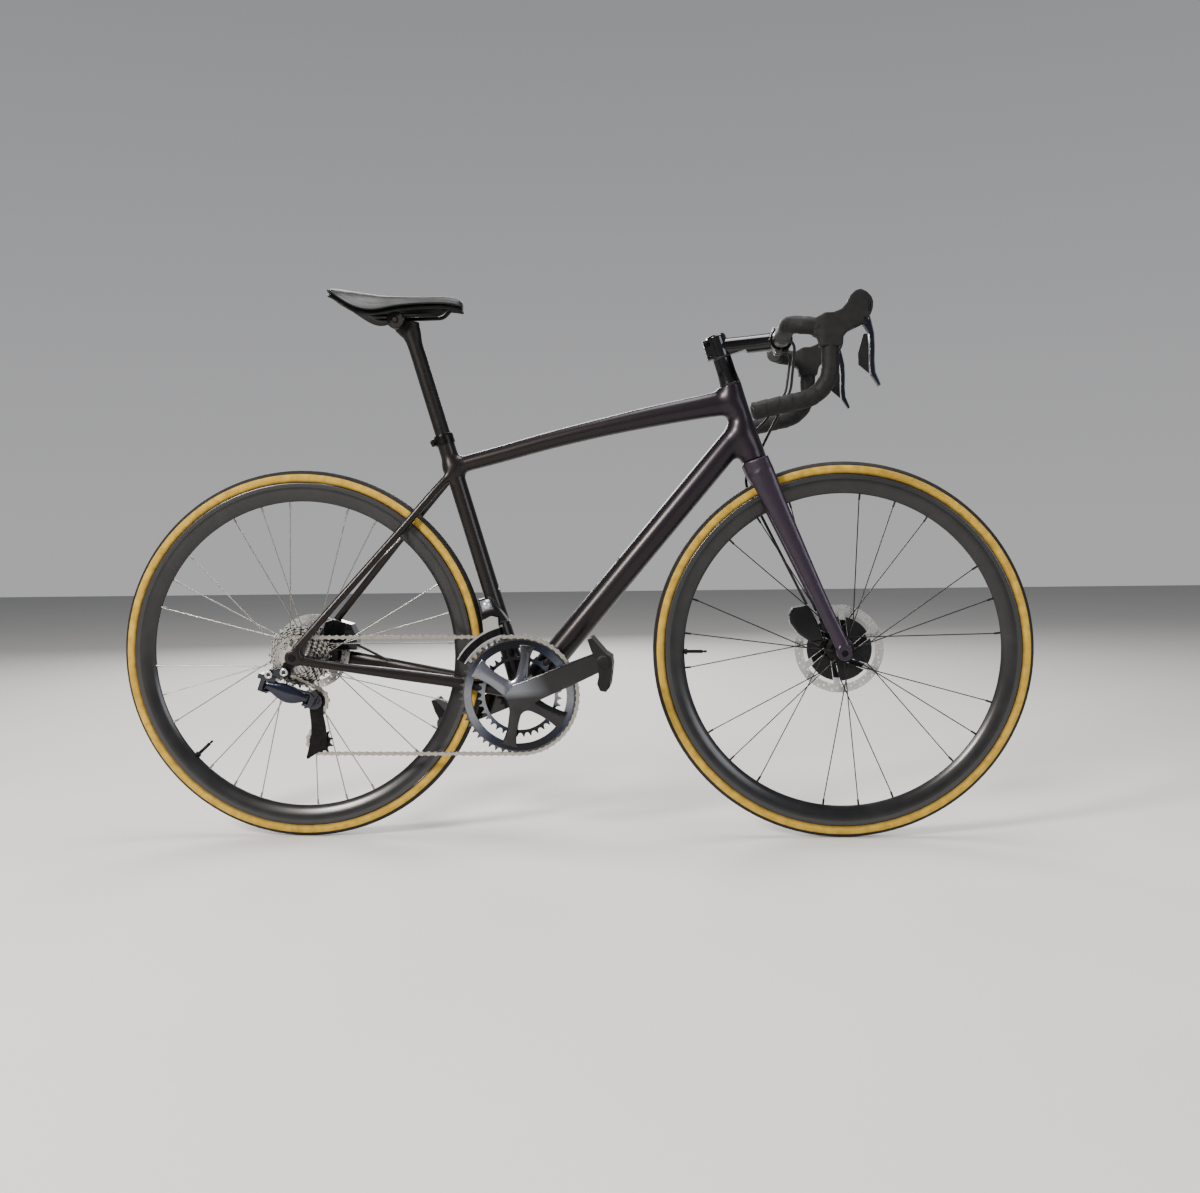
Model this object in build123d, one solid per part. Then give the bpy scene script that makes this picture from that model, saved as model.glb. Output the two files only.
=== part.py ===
from build123d import *
import math
import os

os.makedirs("parts", exist_ok=True)

# Road bicycle with hydraulic disc brakes, drop handlebar and a two-ring crank.
# Millimetres.  X runs forward, Y to the rider's left, Z up.
# The origin is on the ground, midway between the two hubs, in the middle plane.

# ---------------------------------------------------------------- driving sizes
wheelbase = 978.0
tyre_radius = 337.0
tyre_width = 26.0
bead_radius = 311.0
rim_outer_radius = 315.0
rim_inner_radius = 280.0
rim_width = 25.0
rotor_thickness = 1.8
front_rotor_radius = 80.0
rear_rotor_radius = 70.0
front_rotor_y = 34.7
rear_rotor_y = 55.7

bb_x = -86.0
bb_z = 265.0
bb_half_width = 43.25
spindle_radius = 12.0

head_angle = 73.0
head_base_x = 336.3
head_base_z = 679.0
head_length = 140.0
steerer_radius = 14.3

seat_angle = 73.7
seat_tube_length = 488.0
seat_post_radius = 13.6

crank_length = 172.5
crank_angle = 23.0
chain_y = -47.3
chain_pitch = 12.7
big_ring_teeth = 52
small_ring_teeth = 36
ring_step = 7.0
sprocket_teeth = [11, 12, 13, 14, 15, 17, 19, 21, 23, 25, 28]
sprocket_step = 3.74
chain_sprocket = 17
pulley_teeth = 11
guide_x = -457.0
guide_z = 257.0
cage_arm = 74.0
chain_links = 110

bar_x = 384.0
bar_z = 888.0
bar_radius = 12.0
bar_clamp_radius = 15.9
tape_radius = 14.6
bar_half_width = 205.0

hose_radius = 2.5
run_gap = 0.05

rear_x = -wheelbase / 2
front_x = wheelbase / 2
hub_z = tyre_radius


# ---------------------------------------------------------------- small helpers
def rod(start, end, radius):
    """A round bar between two points."""
    a = Vector(*start)
    b = Vector(*end)
    return Solid.make_cylinder(radius, (b - a).length, Plane(origin=a, z_dir=b - a))


def turned(origin, axis, profile):
    """Turn a closed outline of (radius, distance along the axis) about an axis."""
    points = [(r, 0, s) for r, s in profile]
    outline = make_face(Polyline(*points, close=True))
    body = revolve(outline, axis=Axis.Z)
    return Plane(origin=origin, z_dir=axis) * body


def plate(points, y_low, y_high):
    """A flat plate whose outline is given in side view as (X, Z)."""
    plane = Plane(origin=(0, y_high, 0), x_dir=(1, 0, 0), z_dir=(0, -1, 0))
    outline = plane * make_face(Polyline(*points, close=True))
    return extrude(outline, amount=y_high - y_low)


def bar_through(points, radii, radius, hollow=0.0):
    """A round bar or pipe bent along a line of points, each corner an arc."""
    path = FilletPolyline(*points, radius=radii)
    start = Plane(origin=path @ 0, z_dir=path % 0)
    section = Circle(radius)
    if hollow > 0:
        section = section - Circle(hollow)
    return sweep(start * section, path=path)


def oval_tube(stations, grow=0.0):
    """Loft ovals (centre, direction, sideways half width, half height)."""
    faces = []
    for centre, direction, half_width, half_height in stations:
        plane = Plane(origin=centre, x_dir=(0, 1, 0), z_dir=direction)
        faces.append(plane * Ellipse(half_width + grow, half_height + grow))
    return loft(faces)


def mirrored(shape):
    """The same piece on the other side of the middle plane."""
    return mirror(shape, about=Plane.XZ)


def save(name, *pieces):
    """Write one piece, or several alike pieces, to its own file."""
    solids = []
    for piece in pieces:
        solids.extend(piece.solids())
    shape = solids[0] if len(solids) == 1 else Compound(children=solids)
    shape.label = name
    export_step(shape, "parts/" + name + ".step")
    volume = sum(solid.volume for solid in solids)
    print(name, len(solids), round(volume))


def head_point(along, forward=0.0, left=0.0):
    """A point given by the distance up the steering axis and ahead of it."""
    c = math.cos(math.radians(head_angle))
    s = math.sin(math.radians(head_angle))
    x = head_base_x - c * along + s * forward
    z = head_base_z + s * along + c * forward
    return (x, left, z)


def seat_point(along, forward=0.0, left=0.0):
    """A point given by the distance up the seat tube and ahead of it."""
    c = math.cos(math.radians(seat_angle))
    s = math.sin(math.radians(seat_angle))
    return (bb_x - c * along + s * forward, left, bb_z + s * along + c * forward)


head_axis = (-math.cos(math.radians(head_angle)), 0, math.sin(math.radians(head_angle)))
seat_axis = (-math.cos(math.radians(seat_angle)), 0, math.sin(math.radians(seat_angle)))
seat_front = (math.sin(math.radians(seat_angle)), 0, math.cos(math.radians(seat_angle)))


def polar(cx, cz, radius, degrees):
    """A side-view point at an angle above the forward direction."""
    a = math.radians(degrees)
    return (cx + radius * math.cos(a), cz + radius * math.sin(a))


# ---------------------------------------------------------------- chain layout
def pitch_radius(teeth):
    return chain_pitch / (2 * math.sin(math.pi / teeth))


def tangent(c1, r1, turn1, c2, r2, turn2):
    """Straight run leaving circle 1 and joining circle 2.  A turn of +1 means
    the chain goes anticlockwise round that circle in side view, -1 clockwise."""
    dx = c2[0] - c1[0]
    dz = c2[1] - c1[1]
    gap = math.hypot(dx, dz)
    base = math.atan2(dz, dx)
    lean = math.asin((turn1 * r1 - turn2 * r2) / gap)
    heading = base + lean
    p1 = (c1[0] + turn1 * r1 * math.sin(heading), c1[1] - turn1 * r1 * math.cos(heading))
    p2 = (c2[0] + turn2 * r2 * math.sin(heading), c2[1] - turn2 * r2 * math.cos(heading))
    return p1, p2


def chain_route(cage_degrees):
    """Every straight run and arc of the chain loop, in order of travel."""
    a = math.radians(cage_degrees)
    ring = ((bb_x, bb_z), pitch_radius(big_ring_teeth), 1)
    cog = ((rear_x, hub_z), pitch_radius(chain_sprocket), 1)
    guide = ((guide_x, guide_z), pitch_radius(pulley_teeth), -1)
    tension_centre = (guide_x + cage_arm * math.cos(a), guide_z + cage_arm * math.sin(a))
    tension = (tension_centre, pitch_radius(pulley_teeth), 1)
    wheels = [ring, cog, guide, tension]
    runs = []
    for i in range(4):
        one = wheels[i]
        two = wheels[(i + 1) % 4]
        runs.append(tangent(*one, *two))
    route = []
    for i in range(4):
        wheel = wheels[(i + 1) % 4]
        start = runs[i][1]
        end = runs[(i + 1) % 4][0]
        centre, radius, turn = wheel
        a0 = math.atan2(start[1] - centre[1], start[0] - centre[0])
        a1 = math.atan2(end[1] - centre[1], end[0] - centre[0])
        sweep_angle = (turn * (a1 - a0)) % (2 * math.pi)
        length = math.hypot(runs[i][1][0] - runs[i][0][0], runs[i][1][1] - runs[i][0][1])
        route.append(("line", length, runs[i][0], runs[i][1]))
        route.append(("arc", sweep_angle * radius, centre, radius, a0, turn))
    return route, tension_centre


def point_on(route, distance):
    """The point a given distance along the chain loop."""
    for step in route:
        if distance <= step[1]:
            break
        distance -= step[1]
    if step[0] == "line":
        share = distance / step[1]
        x = step[2][0] + share * (step[3][0] - step[2][0])
        z = step[2][1] + share * (step[3][1] - step[2][1])
        return (x, z)
    centre, radius, a0, turn = step[2:]
    a = a0 + turn * distance / radius
    return (centre[0] + radius * math.cos(a), centre[1] + radius * math.sin(a))


def walk(route):
    """Place pins one pitch apart all round the loop; give the final error."""
    total = sum(step[1] for step in route)
    at = 0.0
    pins = [point_on(route, 0.0)]
    for _ in range(chain_links):
        low = at + chain_pitch * 0.9
        high = at + chain_pitch * 1.2
        for _ in range(50):
            middle = (low + high) / 2
            p = point_on(route, middle % total)
            if math.dist(p, pins[-1]) < chain_pitch:
                low = middle
            else:
                high = middle
        at = low
        pins.append(point_on(route, at % total))
    return pins, at - total


def settle_cage():
    """Swing the cage until the last pin meets the first."""
    low = -100.0
    high = -60.0
    for _ in range(50):
        middle = (low + high) / 2
        if walk(chain_route(middle)[0])[1] > 0:
            high = middle
        else:
            low = middle
    return (low + high) / 2


cage_degrees = settle_cage()
route, tension_centre = chain_route(cage_degrees)
pins, chain_error = walk(route)
print("cage", round(cage_degrees, 3), "chain error", round(chain_error, 4))


def phase_at(centre, radius):
    """The angle of one chain pin that lies on a toothed wheel."""
    for p in pins:
        if abs(math.dist(p, centre) - radius) < 0.00001:
            return math.degrees(math.atan2(p[1] - centre[1], p[0] - centre[0]))
    return 0.0


def gear(centre, teeth, y_middle, thickness, phase, tip_height=3.0):
    """A toothed disc whose gaps seat the chain rollers."""
    radius = pitch_radius(teeth)
    seat = 4.15
    tip = radius + tip_height
    points = []
    for k in range(teeth):
        a = math.radians(phase + 360.0 * k / teeth)
        er = (math.cos(a), math.sin(a))
        et = (-math.sin(a), math.cos(a))
        for turn in (-70, -35, 0, 35, 70):
            t = math.radians(turn)
            out = radius - seat * math.cos(t)
            side = seat * math.sin(t)
            points.append(
                (centre[0] + out * er[0] + side * et[0], centre[1] + out * er[1] + side * et[1])
            )
        mid = a + math.pi / teeth
        for side in (-0.9, 0.9):
            b = mid + side / tip
            points.append((centre[0] + tip * math.cos(b), centre[1] + tip * math.sin(b)))
    return plate(points, y_middle - thickness / 2, y_middle + thickness / 2)


# ---------------------------------------------------------------- wheels
def make_tyre(x):
    """Hollow tyre carcass seated on the rim edges."""
    middle = tyre_radius - tyre_width / 2
    r_out = tyre_width / 2
    r_in = r_out - 2.2
    outer = []
    inner = []
    for i in range(17):
        a = math.radians(-46 + 272 * i / 16)
        outer.append((middle + r_out * math.sin(a), r_out * math.cos(a)))
        inner.append((middle + r_in * math.sin(a), r_in * math.cos(a)))
    profile = outer + inner[::-1]
    return turned((x, 0, hub_z), (0, 1, 0), profile)


def make_rim(x, valve_angle):
    """Deep rim with a hollow box below the tyre well, and its valve."""
    w = rim_width / 2
    ro = 314.4
    ri = rim_inner_radius
    skin = [
        (ro, w - 0.6), (ro - 1.5, w), (ro - 12, w), (ro - 20, w - 1.8), (ro - 28, w - 5.5),
        (ri + 1.2, w - 9.5), (ri, 0), (ri + 1.2, -w + 9.5), (ro - 28, -w + 5.5),
        (ro - 20, -w + 1.8), (ro - 12, -w), (ro - 1.5, -w), (ro, -w + 0.6),
        (ro - 0.4, -w + 2.4), (ro - 7, -w + 2.6), (ro - 9, -4), (ro - 11, 0),
        (ro - 9, 4), (ro - 7, w - 2.6), (ro - 0.4, w - 2.4),
    ]
    box = [
        (ro - 12.5, w - 2.2), (ro - 19, w - 3.8), (ri + 7, w - 7.4), (ri + 3, 2.4),
        (ri + 3, -2.4), (ri + 7, -w + 7.4), (ro - 19, -w + 3.8), (ro - 12.5, -w + 2.2),
        (ro - 13.2, 0),
    ]

    def at(radius):
        p = polar(x, hub_z, radius, valve_angle)
        return (p[0], 0, p[1])

    drilled = turned((x, 0, hub_z), (0, 1, 0), skin) - rod(at(270), at(310), 3.0)
    rim = drilled - turned((x, 0, hub_z), (0, 1, 0), box)
    valve = rod(at(246), at(304.5), 2.9) + rod(at(240), at(246), 2.0)
    nut = rod(at(275), at(279.9), 5.5) - rod(at(270), at(282), 2.9)
    return rim, valve + nut


def spoke_set(x, sides):
    """Round spokes from hub flange to rim, each with its nipple."""
    spokes = []
    for y_flange, flange_radius, count, lean, first, stagger in sides:
        for k in range(count):
            rim_angle = first + 360.0 * k / count
            turn = lean if k % 2 == 0 else -lean
            offset = stagger if k % 2 == 0 else -stagger
            a = polar(x, hub_z, flange_radius, rim_angle + turn)
            b = polar(x, hub_z, rim_inner_radius - 10, rim_angle)
            c = polar(x, hub_z, rim_inner_radius + 0.6, rim_angle)
            side = 1.6 if y_flange > 0 else -1.6
            start = (a[0], y_flange + offset, a[1])
            bend = (b[0], side * 1.05, b[1])
            end = (c[0], side, c[1])
            spokes.append(rod(start, bend, 1.0) + rod(bend, end, 1.9))
    return spokes


def make_rotor(x, y, radius, arms, hole_radius):
    """Brake disc: vented ring, swept carrier arms and a hub ring."""
    low = y - rotor_thickness / 2
    high = y + rotor_thickness / 2
    disc = rod((x, low, hub_z), (x, high, hub_z), radius)
    disc -= rod((x, low - 1, hub_z), (x, high + 1, hub_z), radius - 15)
    slots = []
    for k in range(arms * 3):
        for ring_offset, shift in ((4.0, 0.0), (8.0, 0.35), (12.0, 0.7)):
            p = polar(x, hub_z, radius - ring_offset, (k + shift) * 360.0 / (arms * 3))
            slots.append(rod((p[0], low - 1, p[1]), (p[0], high + 1, p[1]), 1.5))
    disc = disc - slots
    hub_ring = rod((x, low - 1.2, hub_z), (x, high + 1.2, hub_z), hole_radius + 7)
    carrier = hub_ring
    for k in range(arms):
        a0 = 360.0 * k / arms
        inner = [polar(x, hub_z, hole_radius + 3, a0 - 12), polar(x, hub_z, hole_radius + 3, a0 + 12)]
        outer = [polar(x, hub_z, radius - 13, a0 + 32), polar(x, hub_z, radius - 13, a0 + 22)]
        carrier += plate(inner + outer, low - 0.3, high + 0.3)
    carrier -= rod((x, low - 3, hub_z), (x, high + 3, hub_z), hole_radius)
    return disc + carrier


axle_radius = 6.0
bore = axle_radius + run_gap

save("front_tyre", make_tyre(front_x))
front_rim, front_valve = make_rim(front_x, 180.0)
save("rear_tyre", make_tyre(rear_x))
rear_rim, rear_valve = make_rim(rear_x, -138.0)

front_sides = [(21.0, 22.0, 14, 68.0, 6.0, 1.7), (-31.0, 16.0, 7, 0.0, 18.86, 0.0)]
rear_sides = [(-19.5, 22.0, 16, 68.0, 4.0, 1.7), (34.0, 18.0, 8, 0.0, 15.25, 0.0)]
front_spokes = spoke_set(front_x, front_sides)
rear_spokes = spoke_set(rear_x, rear_sides)

front_hub_profile = [
    (bore, -49.8), (9.5, -49.8), (9.5, -41), (15, -40), (15, -34), (19, -33.5), (19, -28.5),
    (15, -27.5), (12.5, -20), (12.5, 8), (17, 15), (25, 17.5), (25, 24.5), (21, 26),
    (19.98, 27), (19.98, 37), (17, 37.2), (17, 42), (9.5, 43), (9.5, 49.8), (bore, 49.8),
]
rear_hub_profile = [
    (bore, -26.4), (17, -26.4), (17, -24), (25, -23), (25, -16), (18, -13), (14, -4),
    (14, 24), (18, 29), (21, 31), (21, 37), (17, 38), (17, 48), (19.98, 49), (19.98, 58),
    (16, 58.2), (16, 63), (9.5, 64), (9.5, 70.8), (bore, 70.8),
]
front_hub = turned((front_x, 0, hub_z), (0, 1, 0), front_hub_profile)
rear_hub = turned((rear_x, 0, hub_z), (0, 1, 0), rear_hub_profile)
save("front_hub", front_hub - front_spokes)
save("rear_hub", rear_hub - rear_spokes)
front_spokes = [spoke - front_rim for spoke in front_spokes]
rear_spokes = [spoke - rear_rim for spoke in rear_spokes]
save("front_rim", front_rim, front_valve)
save("rear_rim", rear_rim, rear_valve)
save("front_spokes", *front_spokes)
save("rear_spokes", *rear_spokes)
save("front_rotor", make_rotor(front_x, front_rotor_y, front_rotor_radius, 6, 20.0))
save("rear_rotor", make_rotor(rear_x, rear_rotor_y, rear_rotor_radius, 5, 20.0))
save("front_axle", rod((front_x, -59.5, hub_z), (front_x, 62, hub_z), axle_radius))

# ---------------------------------------------------------------- cassette and chain
cog_y = [chain_y + (i - sprocket_teeth.index(chain_sprocket)) * sprocket_step for i in range(11)]
hub_centre = (rear_x, hub_z)
cog_phase = phase_at(hub_centre, pitch_radius(chain_sprocket))
cassette = rod((rear_x, cog_y[0] - 0.8, hub_z), (rear_x, -27.2, hub_z), 16.5)
cassette += rod((rear_x, -70.7, hub_z), (rear_x, cog_y[0] - 0.8, hub_z), 9.5)
for teeth, y in zip(sprocket_teeth, cog_y):
    cassette += gear(hub_centre, teeth, y, 1.6, cog_phase)
cassette -= rod((rear_x, -75, hub_z), (rear_x, -20, hub_z), bore)
save("cassette", cassette)


def chain_plate(p, q, y_low, y_high):
    """A waisted side plate between two pins."""
    body = rod((p[0], y_low, p[1]), (p[0], y_high, p[1]), 4.0)
    body += rod((q[0], y_low, q[1]), (q[0], y_high, q[1]), 4.0)
    dx = (q[0] - p[0]) / chain_pitch
    dz = (q[1] - p[1]) / chain_pitch
    points = []
    for end, side in ((p, 1), (q, 1), (q, -1), (p, -1)):
        points.append((end[0] - dz * 2.5 * side, end[1] + dx * 2.5 * side))
    return body + plate(points, y_low, y_high)


def inner_link(p, q):
    link = chain_plate(p, q, chain_y - 1.85, chain_y - 1.15)
    link += chain_plate(p, q, chain_y + 1.15, chain_y + 1.85)
    for end in (p, q):
        link += rod((end[0], chain_y - 1.5, end[1]), (end[0], chain_y + 1.5, end[1]), 3.8)
    for end in (p, q):
        link -= rod((end[0], chain_y - 3, end[1]), (end[0], chain_y + 3, end[1]), 1.85)
    return link


def outer_link(p, q):
    link = chain_plate(p, q, chain_y - 2.6, chain_y - 1.95)
    link += chain_plate(p, q, chain_y + 1.95, chain_y + 2.6)
    for end in (p, q):
        link += rod((end[0], chain_y - 2.8, end[1]), (end[0], chain_y + 2.8, end[1]), 1.75)
    return link


# one link of each kind, then copies laid along the loop
link_kinds = [inner_link((0, 0), (chain_pitch, 0)), outer_link((0, 0), (chain_pitch, 0))]
links = []
for i in range(chain_links):
    p = pins[i]
    q = pins[(i + 1) % chain_links]
    heading = math.degrees(math.atan2(q[1] - p[1], q[0] - p[0]))
    place = Location((p[0], 0, p[1])) * Location((0, 0, 0), (0, -heading, 0))
    links.append(place * link_kinds[i % 2])
save("chain", *links)

# ---------------------------------------------------------------- frame tubes
bb_from = (bb_x, -bb_half_width, bb_z)
bb_to = (bb_x, bb_half_width, bb_z)
bb_outer = rod(bb_from, bb_to, 24.0)

head_profile = [(0.01, 0), (22.5, 0), (22.2, 14), (19.6, 60), (18.8, 110), (19.2, head_length)]
head_outer = turned(head_point(0), head_axis, head_profile + [(0.01, head_length)])
head_bore = turned(
    head_point(0), head_axis,
    [(0.01, -1), (20, -1), (20, 8), (16.8, 10), (16.2, 128), (17.2, 131), (17.2, 141), (0.01, 141)],
)
seat_outer = oval_tube([
    (seat_point(0), seat_axis, 17.5, 18.5),
    (seat_point(90), seat_axis, 16.5, 17.0),
    (seat_point(220), seat_axis, 15.6, 15.6),
    (seat_point(seat_tube_length), seat_axis, 15.5, 15.5),
])
post_bore = rod(seat_point(240), seat_point(seat_tube_length + 1), seat_post_radius + run_gap)
seat_bore = rod(seat_point(15), seat_point(245), 14.2) + post_bore

# top tube: gently arched, taller toward the head tube
top_line = [
    ((-208, 0, 674.5), 14.5, 14.5), ((-119, 0, 696.5), 15.5, 15.0), ((-30, 0, 719.5), 16.0, 15.6),
    ((63, 0, 740.5), 16.5, 16.5), ((153, 0, 758.5), 17.5, 18.5), ((242, 0, 774.0), 18.0, 20.5),
    ((300, 0, 783.5), 18.0, 23.0),
]
top_stations = []
for i, (centre, half_width, half_height) in enumerate(top_line):
    before = top_line[max(i - 1, 0)][0]
    after = top_line[min(i + 1, len(top_line) - 1)][0]
    direction = (after[0] - before[0], 0, after[2] - before[2])
    top_stations.append((centre, direction, half_width, half_height))
top_outer = oval_tube(top_stations)
top_inner = oval_tube(top_stations, -1.8)

down_start = (bb_x - 3.0, 0, bb_z - 8.4)
down_end = (318.6, 0, 737.0)
down_dir = (down_end[0] - down_start[0], 0, down_end[2] - down_start[2])


def down_point(share, below=0.0):
    size = math.hypot(down_dir[0], down_dir[2])
    x = down_start[0] + share * down_dir[0] + below * down_dir[2] / size
    z = down_start[2] + share * down_dir[2] - below * down_dir[0] / size
    return (x, 0, z)


down_stations = [
    (down_point(0.0), down_dir, 29.0, 23.5), (down_point(0.15), down_dir, 26.5, 23.8),
    (down_point(0.5), down_dir, 23.5, 23.5), (down_point(0.85), down_dir, 22.0, 23.0),
    (down_point(1.0), down_dir, 20.5, 23.0),
]
down_outer = oval_tube(down_stations)
down_inner = oval_tube(down_stations, -1.8)

# chainstays: (x, y, z), half width, half height
right_stay = [
    ((-107, 27, 271), 10, 13), ((-160, 27.5, 280.5), 8.6, 11.5), ((-205, 29.5, 287.5), 8.6, 10.5),
    ((-300, 38, 302), 8.8, 10), ((-385, 53, 315.5), 8, 8.2), ((-436, 66, 324.5), 6.5, 7.5),
    ((-480, 74, 333), 3.0, 8.5),
]
left_stay = [
    ((-107, 27, 271), 10, 13), ((-160, 27.5, 281), 8.6, 12.0), ((-205, 29.5, 289), 8.6, 11.5),
    ((-300, 40, 305), 9.0, 12.5), ((-370, 57, 315.5), 9.0, 13.5), ((-430, 69.8, 324), 7.6, 14.0),
    ((-480, 74, 333), 3.0, 11.5),
]
stay_top = [
    ((-204, 15.0, 668), 5.5, 7.2), ((-240, 20.5, 628), 5.6, 7.0), ((-290, 27.5, 571.5), 5.8, 7.0),
    ((-360, 45.0, 492), 5.8, 7.0), ((-430, 63.0, 412.5), 5.2, 7.0), ((-484, 74, 351), 3.0, 7.5),
]


def stay(line, side):
    """Loft a stay through ovals that face along it."""
    faces = []
    for i, (centre, half_width, half_height) in enumerate(line):
        before = line[max(i - 1, 0)][0]
        after = line[min(i + 1, len(line) - 1)][0]
        direction = Vector(after[0] - before[0], side * (after[1] - before[1]), after[2] - before[2])
        across = Vector(-direction.Y, direction.X, 0)
        plane = Plane(origin=(centre[0], side * centre[1], centre[2]), x_dir=across, z_dir=direction)
        faces.append(plane * Ellipse(half_width, half_height))
    return loft(faces)


dropouts = []
for side in (-1, 1):
    dropouts.append(rod((rear_x, side * 71.0, hub_z), (rear_x, side * 77.0, hub_z), 14.0))
tyre_room = turned(
    (rear_x, 0, hub_z), (0, 1, 0),
    [(250, -15.5), (330, -17.5), (344, -14), (344, 14), (330, 17.5), (250, 15.5)],
)
hub_room = rod((rear_x, -71.0, hub_z), (rear_x, 71.0, hub_z), 30.0)
axle_hole = rod((rear_x, -90, hub_z), (rear_x, 90, hub_z), axle_radius)

# hose from the left lever through the bar, the down tube and the left stay
rear_hose_points = [
    (bar_x, 150, bar_z), (bar_x, 74, bar_z), (407, 52, 872), (396, 44, 800), (352, 38, 742),
    (262, 8, 676), (100, 0, 479), (-80, 10, 243), (-205, 29.5, 289), (-318, 41.5, 307.5),
    (-402, 50.0, 349), (-409, 50.0, 360),
]
rear_hose_radii = [14, 24, 45, 60, 55, 150, 25, 120, 160, 20]
rear_hose = bar_through(rear_hose_points, rear_hose_radii, hose_radius)
print("rear hose bend radii", rear_hose_radii)
rear_channel = bar_through(rear_hose_points[3:], rear_hose_radii[3:], hose_radius + 0.4)

# hose from the right lever through the bar and down the left fork leg
front_hose_points = [
    (bar_x, -150, bar_z), (bar_x, -74, bar_z), (406, -50, 874), (401, -14, 800), (372, 30, 742),
    (346, 46, 690), (318, 47, 646), (420, 47.5, 441), (432, 44.5, 417),
]
front_hose_radii = [14, 24, 60, 70, 60, 40, 60]
front_hose = bar_through(front_hose_points, front_hose_radii, hose_radius)
print("front hose bend radii", front_hose_radii)
save("front_hose", front_hose)
save("rear_hose", rear_hose)

boss_specs = [
    (down_point(0.383), (-down_dir[2], 0, down_dir[0]), 23.5),
    (down_point(0.383 + 64.0 / 626.5), (-down_dir[2], 0, down_dir[0]), 23.5),
    (seat_point(127), seat_front, 16.2), (seat_point(191), seat_front, 15.6),
]
bosses = []
boss_cuts = []
for centre, outward, reach in boss_specs:
    n = Vector(*outward).normalized()
    c = Vector(*centre)
    top = c + n * (reach + 0.8)
    bottom = c + n * (reach - 9.0)
    if reach < 20:
        bottom = c + n * 14.3
    outer = rod(tuple(bottom), tuple(top), 5.0)
    bosses.append(outer - rod(tuple(bottom - n), tuple(top + n), 2.5))
    boss_cuts.append(outer)
    print("boss", [round(v, 3) for v in top], [round(v, 4) for v in n])
save("bottle_bosses", *bosses)

seatstays = []
chainstays = []
for side, line in ((-1, right_stay), (1, left_stay)):
    drop = dropouts[0] if side < 0 else dropouts[1]
    low = stay(line, side) + drop
    low = low - hub_room - tyre_room - axle_hole
    high = stay(stay_top, side) - hub_room - tyre_room - low - axle_hole
    chainstays.append(low)
    seatstays.append(high - seat_outer - top_outer)

head_tube = head_outer - head_bore
top_tube = top_outer - top_inner - head_outer - seat_outer
down_tube = down_outer - down_inner - head_outer - top_outer - bb_outer - seat_outer
down_tube = down_tube - boss_cuts - rear_channel
seat_tube = seat_outer - seat_bore - bb_outer - boss_cuts
bb_shell = bb_outer - rod((bb_x, -60, bb_z), (bb_x, 60, bb_z), 20.5) - rear_channel
left_low = chainstays[1] - bb_outer - down_outer - seat_outer - rear_channel
right_low = chainstays[0] - bb_outer - down_outer - seat_outer
save("head_tube", head_tube)
save("top_tube", max(top_tube.solids(), key=lambda s: s.volume))
save("down_tube", max(down_tube.solids(), key=lambda s: s.volume))
save("seat_tube", max(seat_tube.solids(), key=lambda s: s.volume))
save("bb_shell", bb_shell)
save("chainstays", left_low, right_low)
save("seatstays", *seatstays)

# ---------------------------------------------------------------- bearings and axles
bearings = [
    turned(head_point(0), head_axis, [(15.0 + run_gap, 0.3), (20, 0.3), (20, 7.8), (15.0 + run_gap, 7.8)]),
    turned(head_point(0), head_axis, [
        (steerer_radius + run_gap, 131.5), (17.2, 131.5), (17.2, 139.6), (steerer_radius + run_gap, 139.6),
    ]),
]
for side in (-1, 1):
    profile = [
        (spindle_radius + run_gap, 33.0), (20.5, 33.0), (20.5, 43.3), (22.5, 43.3), (22.5, 45.6),
        (spindle_radius + run_gap, 45.6),
    ]
    bearings.append(turned((bb_x, 0, bb_z), (0, side, 0), profile))
save("frame_bearings", *bearings)

rear_axle = rod((rear_x, -78.5, hub_z), (rear_x, 79, hub_z), axle_radius)
rear_axle += rod((rear_x, 77, hub_z), (rear_x, 80.5, hub_z), 9.0)
rear_axle -= rod((rear_x, 75, hub_z), (rear_x, 82, hub_z), 3.0)
hanger_x = -501.0
hanger_z = 313.0
hanger = plate([
    (-480, 328), (-490, 316), (-494, 304), (-502, 303.5), (-510, 308), (-510, 317), (-504, 330),
], -77.0, -71.0)
hanger = hanger - dropouts[0] - right_low - axle_hole
hanger = max(hanger.solids(), key=lambda s: s.volume)
hanger_hole = rod((hanger_x, -90, hanger_z), (hanger_x, -60, hanger_z), 4.0)
save("rear_axle_and_hanger", rear_axle, hanger - hanger_hole)

collar = turned(seat_point(seat_tube_length - 18), seat_axis, [
    (15.5, 0), (17.6, 0), (17.6, 15), (17.0, 18.6), (seat_post_radius + 0.5, 18.6),
    (seat_post_radius + 0.5, 18.05), (15.5, 18.05),
])
lug = Plane(origin=seat_point(seat_tube_length - 9, -20), x_dir=(0, 1, 0), z_dir=seat_axis)
lug_block = lug * Box(13, 10, 12) - rod(seat_point(400), seat_point(500), 16.5)
slot = lug * Box(2, 22, 40) - rod(seat_point(400), seat_point(500), 15.5)
bolt_centre = seat_point(seat_tube_length - 9, -21)
bolt = rod((bolt_centre[0], -9.5, bolt_centre[2]), (bolt_centre[0], 8, bolt_centre[2]), 2.5)
bolt += rod((bolt_centre[0], -10.5, bolt_centre[2]), (bolt_centre[0], -6.5, bolt_centre[2]), 4.2)
collar = collar + lug_block - slot - bolt
save("seat_collar", max(collar.solids(), key=lambda s: s.volume), bolt)

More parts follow.
